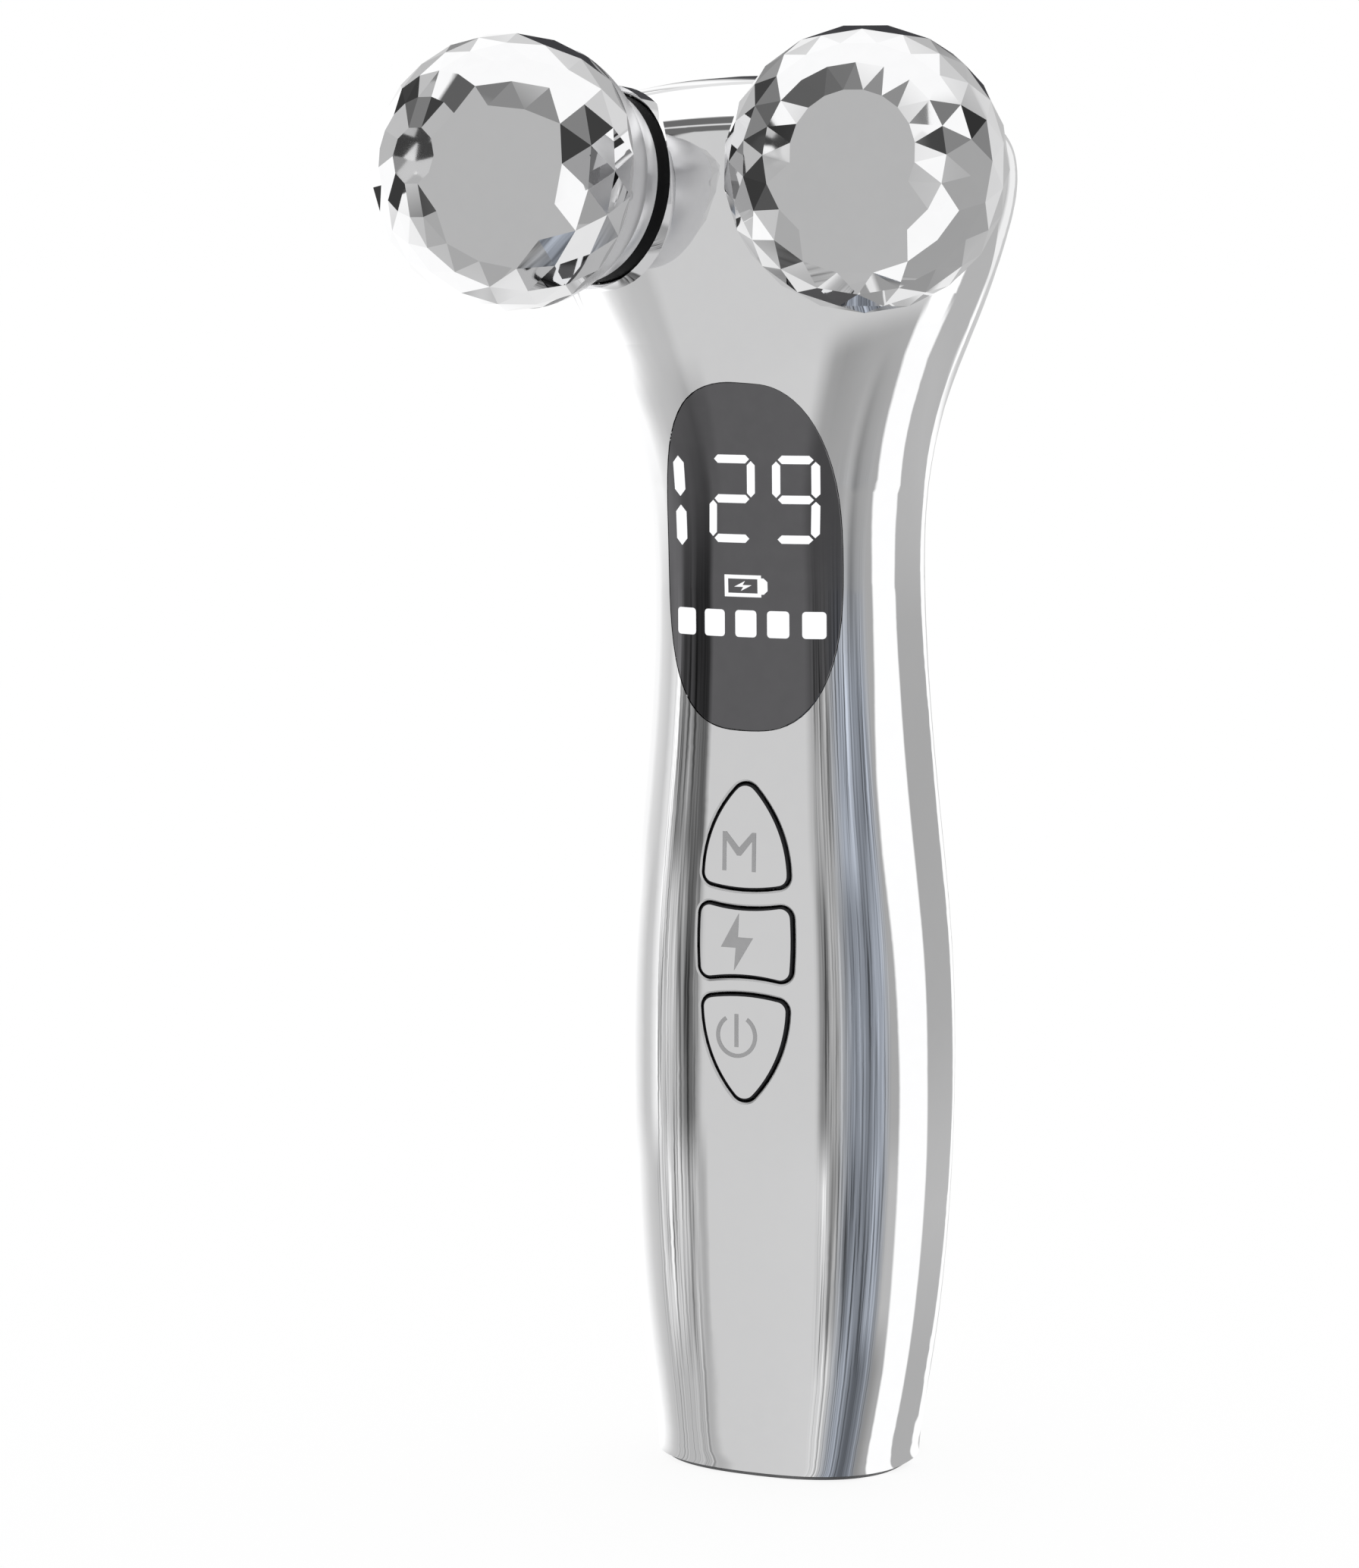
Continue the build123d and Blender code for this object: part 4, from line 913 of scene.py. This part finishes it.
# The tent is cut into patches: where, by azimuth, and between which levels in degrees they begin.
PATCHED = [(-146, -142, -50, -46), (72, 76, 138, 142)]
PATCHED_ABOVE = (8, 12)
PATCHED_LOW = (-124, -120, -50, -46)
PATCHED_LOW_ABOVE = (-16, -12)
CELL_SCALE = 14.0
CELL_SHIFT = (0.4, 2.2, 0.9)
CELL_SHADES = [
    (0.0, 0.04), (0.24, 0.07), (0.26, 0.26), (0.43, 0.32), (0.45, 0.6), (0.62, 0.7), (0.64, FAR_WHITE),
]
CRUMB_SCALE = 280.0
CRUMB_SHADES = [
    (0.0, 0.03), (0.28, 0.08), (0.32, 0.3), (0.55, 0.4), (0.6, 0.7), (0.8, 0.8), (0.84, FAR_WHITE),
]
# Boards on the tent: azimuths, then the levels at which the board begins and ends.
CRUMBS = ((-76, -74, -50, -48), (2, 3), (20, 19))
BACK_BOARD = ((-174, -172, -152, -150), (9, 10), (33, 32))
BACK_BOARD_SHADE = (0.06, 0.06, 0.065)
# The roof by its slant above the front, as a share of half a turn, and how far it reaches.
DARK_STRIPS = [(0.345, 1.0), (0.35, 0.45), (0.357, 0.45), (0.362, 1.0), (0.41, 1.0), (0.425, 0.0)]
OVERHEAD = [(0.0, FAR_WHITE), (0.72, FAR_WHITE), (0.74, 0.8)]
STRIP_LEFT, STRIP_RIGHT = (0.15,) * 3, (0.36,) * 3
STRIP_SPAN = (-0.4, 0.25)
ROOF_FROM = (54, 56)
ROOF_TO = (142, 140)
ROOF_WIDTH = (0.68, 0.66)
CURTAIN_RADIUS = 0.042
CURTAIN_TOP = 0.118
RING_START = 0.010
RING_SIDES = 160
TENT_RADIUS = 0.45
TENT_HEIGHT = 0.14
TENT_SIDES = 96
TENT_RINGS = 48
JUST_ABOVE_FLOOR = 0.0006
FLOOR_SIZE = 60
FLOOR_GLOW = 1.06
FLOOR_GLOW_SHARE = 0.8
ROOM_LIGHT = 0.85


def turn_of(tree):
    """The azimuth of a point about the handle, 0.5 at the front, growing to the right; its X, Y and Z."""
    place = add_node(tree, "TexCoord", {}).outputs["Object"]
    parts = add_node(tree, "SeparateXYZ", {0: place}).outputs
    forward = math_node(tree, "MULTIPLY", parts["Y"], -1.0)
    angle = math_node(tree, "ARCTAN2", parts["X"], forward)
    return math_node(tree, "MULTIPLY_ADD", angle, 1 / (2 * pi), 0.5), parts, place


def full_turn(azimuth):
    """The place of an azimuth in degrees on a ramp that runs once round."""
    return azimuth / 360 + 0.5


def panels(tree, turn, stops):
    """Upright panels by azimuth."""
    return ramp(tree, turn, [(full_turn(azimuth), bright) for azimuth, bright in stops])


def spans(tree, turn, *ranges):
    """1 between the inner two azimuths of each range, 0 beyond its outer two."""
    return panels(tree, turn, [stop for edges in ranges for stop in zip(edges, (0.0, 1.0, 1.0, 0.0))])


def board(tree, turn, level, edges, bottom, top):
    """1 on a board between azimuths and levels."""
    return product(tree, spans(tree, turn, edges), step_between(tree, level, *bottom),
                   step_between(tree, level, *top))


def turned_by(tree, turn, shifts, share=1.0):
    """Azimuth moved by a number of degrees that depends on the azimuth itself."""
    shift = panels(tree, turn, [(azimuth, 0.5 + degrees / FAN_RANGE) for azimuth, degrees in shifts])
    shift = math_node(tree, "MULTIPLY", math_node(tree, "SUBTRACT", shift, 0.5), share)
    return math_node(tree, "MULTIPLY_ADD", shift, FAN_RANGE / 360, turn)


def fanned_out(tree, turn, parts):
    """On the floor the panels fan out, so that the foot mirrors them as upright stripes."""
    flat = add_node(tree, "CombineXYZ", {"X": parts["X"], "Y": parts["Y"]}).outputs["Vector"]
    out = math_node(tree, "DIVIDE", length_of(tree, flat), CURTAIN_RADIUS)
    return turned_by(tree, turn, FAN, ramp(tree, out, FAN_SHARE))


def by_height(tree, height_share, stops):
    """What changes up the curtain; each stop is a height in millimetres and the value there."""
    return ramp(tree, height_share, [(height * MM / CURTAIN_TOP, value) for height, value in stops])


def beyond(tree, turn, height_share, border):
    """1 past a border whose azimuth changes with height."""
    azimuth = by_height(tree, height_share, [(height, full_turn(azimuth)) for height, azimuth in border])
    past = math_node(tree, "SUBTRACT", turn, azimuth)
    past = math_node(tree, "MULTIPLY_ADD", past, 360 / BORDER, 0.5)
    return ramp(tree, past, [(0.0, 0.0), (1.0, 1.0)])


def fade(tree, height, heights):
    """A soft step between two heights in millimetres."""
    return step_between(tree, height, heights[0] * MM, heights[1] * MM)


def curtain_light(tree):
    """Near panels from the floor to the neck: striped beside the waist, cool at the right."""
    turn, parts, _ = turn_of(tree)
    height = parts["Z"]
    turn = fanned_out(tree, turn, parts)
    light = panels(tree, turn, FOOT_PANELS)
    for heights, stops in zip(FADES, (LOW_PANELS, BELLY_PANELS, WAIST_PANELS, NECK_PANELS)):
        light = blend(tree, fade(tree, height, heights), light, panels(tree, turn, stops))
    below_neck = fade(tree, height, NECK_FADE)
    spot = add_node(tree, "CombineXYZ", {"X": math_node(tree, "MULTIPLY", turn, THREADS_ROUND),
                                         "Y": math_node(tree, "MULTIPLY", height, THREADS_UP)})
    thread = add_node(tree, "TexNoise", {"Vector": spot.outputs["Vector"], "Scale": 1.0, "Detail": 2.0})
    uneven = ramp(tree, thread.outputs["Fac"], THREAD_SHADES)
    for ranges, tint in ((THREADED, uneven), ([COOLED], COOL)):
        share = product(tree, spans(tree, turn, *ranges), below_neck)
        light = blend(tree, share, light, blend(tree, 1.0, light, tint, "MULTIPLY"))
    height_share = math_node(tree, "DIVIDE", height, CURTAIN_TOP)
    side = by_height(tree, height_share, SIDE_SHADES)
    behind = panels(tree, turn, BEHIND_PANELS)
    for border, shade in ((WHITE_FROM, (WHITE,) * 3), (GRAY_FROM, side), (WHITE_AGAIN, behind)):
        light = blend(tree, beyond(tree, turn, height_share, border), light, shade)
    table = panels(tree, turned_by(tree, turn, TOP_FAN), TABLE_PANELS)
    return blend(tree, fade(tree, height, TABLE_FADE), light, table)


def table_light(tree):
    """The far table: gray in front, white beside and behind."""
    return panels(tree, turn_of(tree)[0], TABLE_PANELS)


def patchwork(tree, place, scale, shades):
    """Random patches of a few shades."""
    spot = add_node(tree, "VectorMath", {0: place, 1: CELL_SHIFT}, operation="ADD").outputs["Vector"]
    cells = add_node(tree, "TexVoronoi", {"Scale": scale, "Vector": spot})
    shade = add_node(tree, "SeparateColor", {"Color": cells.outputs["Color"]})
    return ramp(tree, shade.outputs["Red"], shades)


def tent_light(tree):
    """The far tent: a gray card in front, cut panels beside it, long strips overhead."""
    turn, parts, place = turn_of(tree)
    radius = length_of(tree, place)
    rise = math_node(tree, "DIVIDE", parts["Z"], radius)
    level = math_node(tree, "MULTIPLY", math_node(tree, "ARCSINE", rise), 180 / pi)
    high_patches = product(tree, spans(tree, turn, *PATCHED), step_between(tree, level, *PATCHED_ABOVE))
    low_patches = product(tree, spans(tree, turn, PATCHED_LOW), step_between(tree, level, *PATCHED_LOW_ABOVE))
    cut = math_node(tree, "MAXIMUM", high_patches, low_patches)
    light = panels(tree, turn, TENT_PANELS)
    light = blend(tree, cut, light, patchwork(tree, place, CELL_SCALE, CELL_SHADES))
    crumbs = patchwork(tree, place, CRUMB_SCALE, CRUMB_SHADES)
    light = blend(tree, board(tree, turn, level, *CRUMBS), light, crumbs)
    light = blend(tree, board(tree, turn, level, *BACK_BOARD), light, BACK_BOARD_SHADE)
    forward = math_node(tree, "MULTIPLY", parts["Y"], -1.0)
    slant = math_node(tree, "MULTIPLY", math_node(tree, "ARCTAN2", parts["Z"], forward), 180 / pi)
    slant_share = math_node(tree, "DIVIDE", slant, 180)
    across = math_node(tree, "DIVIDE", parts["X"], radius)
    strip = blend(tree, step_between(tree, across, *STRIP_SPAN), STRIP_LEFT, STRIP_RIGHT)
    roof = blend(tree, ramp(tree, slant_share, DARK_STRIPS), ramp(tree, slant_share, OVERHEAD), strip)
    reached = product(tree, step_between(tree, slant, *ROOF_FROM), step_between(tree, slant, *ROOF_TO),
                      step_between(tree, math_node(tree, "ABSOLUTE", across), *ROOF_WIDTH))
    return blend(tree, reached, light, roof)


def glowing(name, light_of):
    """A stage material that only glows."""
    material, tree = new_material(name)
    tree.nodes.clear()
    output = tree.nodes.new("ShaderNodeOutputMaterial")
    glow = add_node(tree, "Emission", {"Color": light_of(tree)})
    tree.links.new(glow.outputs[0], output.inputs["Surface"])
    return material


def set_up(piece, name, light_of):
    """Make a piece a studio panel that shows in reflections and nowhere else."""
    piece.name = name
    paint(piece, glowing(name, light_of))
    piece.visible_camera = False
    piece.visible_diffuse = False
    piece.visible_transmission = False
    piece.visible_shadow = False


def make_ring(radius, grow, rise=0.0):
    """A flat ring just above the floor, with a wall on its rim if it has a rise."""
    deselect_all()
    bpy.ops.mesh.primitive_circle_add(vertices=RING_SIDES, radius=radius, location=(0, 0, JUST_ABOVE_FLOOR))
    ring = bpy.context.object
    bpy.ops.object.transform_apply(location=True)
    bpy.ops.object.mode_set(mode="EDIT")
    bpy.ops.mesh.select_all(action="SELECT")
    bpy.ops.mesh.extrude_region_move()
    bpy.ops.transform.resize(value=(grow, grow, 1))
    if rise:
        bpy.ops.mesh.extrude_region_move(TRANSFORM_OT_translate={"value": (0, 0, rise)})
    bpy.ops.object.mode_set(mode="OBJECT")
    return ring


def make_panels():
    """The near curtain, the far table and the far tent."""
    curtain = make_ring(RING_START, CURTAIN_RADIUS / RING_START, CURTAIN_TOP - JUST_ABOVE_FLOOR)
    set_up(curtain, "near_curtain", curtain_light)
    set_up(make_ring(CURTAIN_RADIUS, TENT_RADIUS / CURTAIN_RADIUS), "far_table", table_light)
    deselect_all()
    bpy.ops.mesh.primitive_uv_sphere_add(segments=TENT_SIDES, ring_count=TENT_RINGS, radius=TENT_RADIUS,
                                         location=(0, 0, TENT_HEIGHT))
    set_up(bpy.context.object, "far_tent", tent_light)


def seen_directly(tree):
    """1 for what the camera, a mirror or glass sees, 0 for what lights the object."""
    rays = add_node(tree, "LightPath", {}).outputs
    seen = math_node(tree, "MAXIMUM", rays["Is Camera Ray"], rays["Is Glossy Ray"])
    return math_node(tree, "MAXIMUM", seen, rays["Is Transmission Ray"])


def make_floor():
    """A pale floor that keeps a soft shadow."""
    deselect_all()
    bpy.ops.mesh.primitive_plane_add(size=FLOOR_SIZE, location=(0, 0, 0))
    floor = bpy.context.object
    floor.name = "floor"
    material, tree = new_material("pale_floor")
    shader = tree.nodes["Principled BSDF"]
    plug(tree, shader, {"Base Color": (0.9, 0.9, 0.9, 1), "Roughness": 0.8, "Specular IOR Level": 0.0})
    glow = add_node(tree, "Emission", {"Color": (1, 1, 1, 1), "Strength": FLOOR_GLOW})
    share = math_node(tree, "MULTIPLY", seen_directly(tree), FLOOR_GLOW_SHARE)
    mix = add_node(tree, "MixShader", {"Fac": share, 1: shader.outputs[0], 2: glow.outputs[0]})
    tree.links.new(mix.outputs[0], tree.nodes["Material Output"].inputs["Surface"])
    paint(floor, material)


def make_world():
    """A white room: plain light on the object, white behind it."""
    world = bpy.data.worlds.new("white_room")
    bpy.context.scene.world = world
    world.use_nodes = True
    tree = world.node_tree
    strength = math_node(tree, "MULTIPLY_ADD", seen_directly(tree), 1 - ROOM_LIGHT, ROOM_LIGHT)
    plug(tree, tree.nodes["Background"], {"Color": (1, 1, 1, 1), "Strength": strength})


# ---- camera ----
CAMERA_DISTANCE = 0.51203
CAMERA_AZIMUTH = 24
CAMERA_HEIGHT = 0.13777
CAMERA_TILT = 6.67
CAMERA_TURN = 25.42
SENSOR = 36
FRAME_HEIGHT = 2068
FOCAL_PIXELS = 5966


def make_camera():
    """The camera stands to the right of the front, level with the head."""
    data = bpy.data.cameras.new("camera")
    camera = bpy.data.objects.new("camera", data)
    bpy.context.scene.collection.objects.link(camera)
    data.sensor_fit = "VERTICAL"
    data.sensor_height = SENSOR
    data.sensor_width = SENSOR
    data.lens = FOCAL_PIXELS / FRAME_HEIGHT * SENSOR
    turn = radians(CAMERA_AZIMUTH)
    camera.location = (CAMERA_DISTANCE * sin(turn), -CAMERA_DISTANCE * cos(turn), CAMERA_HEIGHT)
    camera.rotation_euler = (radians(90 - CAMERA_TILT), 0, radians(CAMERA_TURN))
    bpy.context.scene.camera = camera


# ---- the device ----

FINISHES = make_finishes()
DISPLAY_LIGHT = make_display_light()
# Painted shade: a dark, dull finish for the walls and rims round the buttons, where the gaps lie in shade.
PAINTED_GAP_SHADE = finish("painted_gap_shade", (0.028, 0.028, 0.03), (0.02, 0.02, 0.022), 0.5, scale=3500.0, specular=DULL)
SOFT_RIM = chrome("soft_rim", (0.80, 0.80, 0.805), (0.77, 0.77, 0.775), 0.3)
SATIN_BAND = chrome("satin_band", (0.80, 0.80, 0.81), (0.77, 0.77, 0.78), 0.36)
SIGN_GRAY = finish("etched_sign", (0.40, 0.40, 0.405), (0.36, 0.36, 0.365), 0.5, scale=3500.0)


def finish_nodes():
    """Give every node of the device the finish of its slot."""
    for entry in frame["record"]["subparts"]:
        paint(frame["nodes"][entry["node"]], FINISHES[entry["material_slot"]])


def make_plated_pieces():
    """The shells, the window and the button caps with polished skins."""
    plated("front_shell", "front_plating", FINISHES["shell_chrome"], "housing")
    plated("rear_shell", "rear_plating", FINISHES["shell_chrome"], "housing")
    lens = plated("display_window", "window_lens", FINISHES["smoked_lens"], "housing")
    draped_sign("lit_display", display_outlines(), lens, DISPLAY_LIGHT, "housing")
    letter, bolt = moved(LETTER_M, *MODE_ICON), moved(BOLT, *BOLT_ICON)
    for name, outlines in (("mode", [letter]), ("level", [bolt]), ("power", power_outlines())):
        cap = plated(name + "_button", name + "_cap", FINISHES["key_chrome"], name + "_key")
        draped_sign(name + "_sign", outlines, cap, SIGN_GRAY, name + "_key")


make_camera()
make_world()
make_floor()
make_panels()
finish_nodes()
make_plated_pieces()
make_roller(-1, "left", FINISHES["roller_chrome"], "left_roller")
make_roller(1, "right", FINISHES["roller_chrome"], "right_roller")

bpy.context.scene.view_settings.view_transform = "Standard"
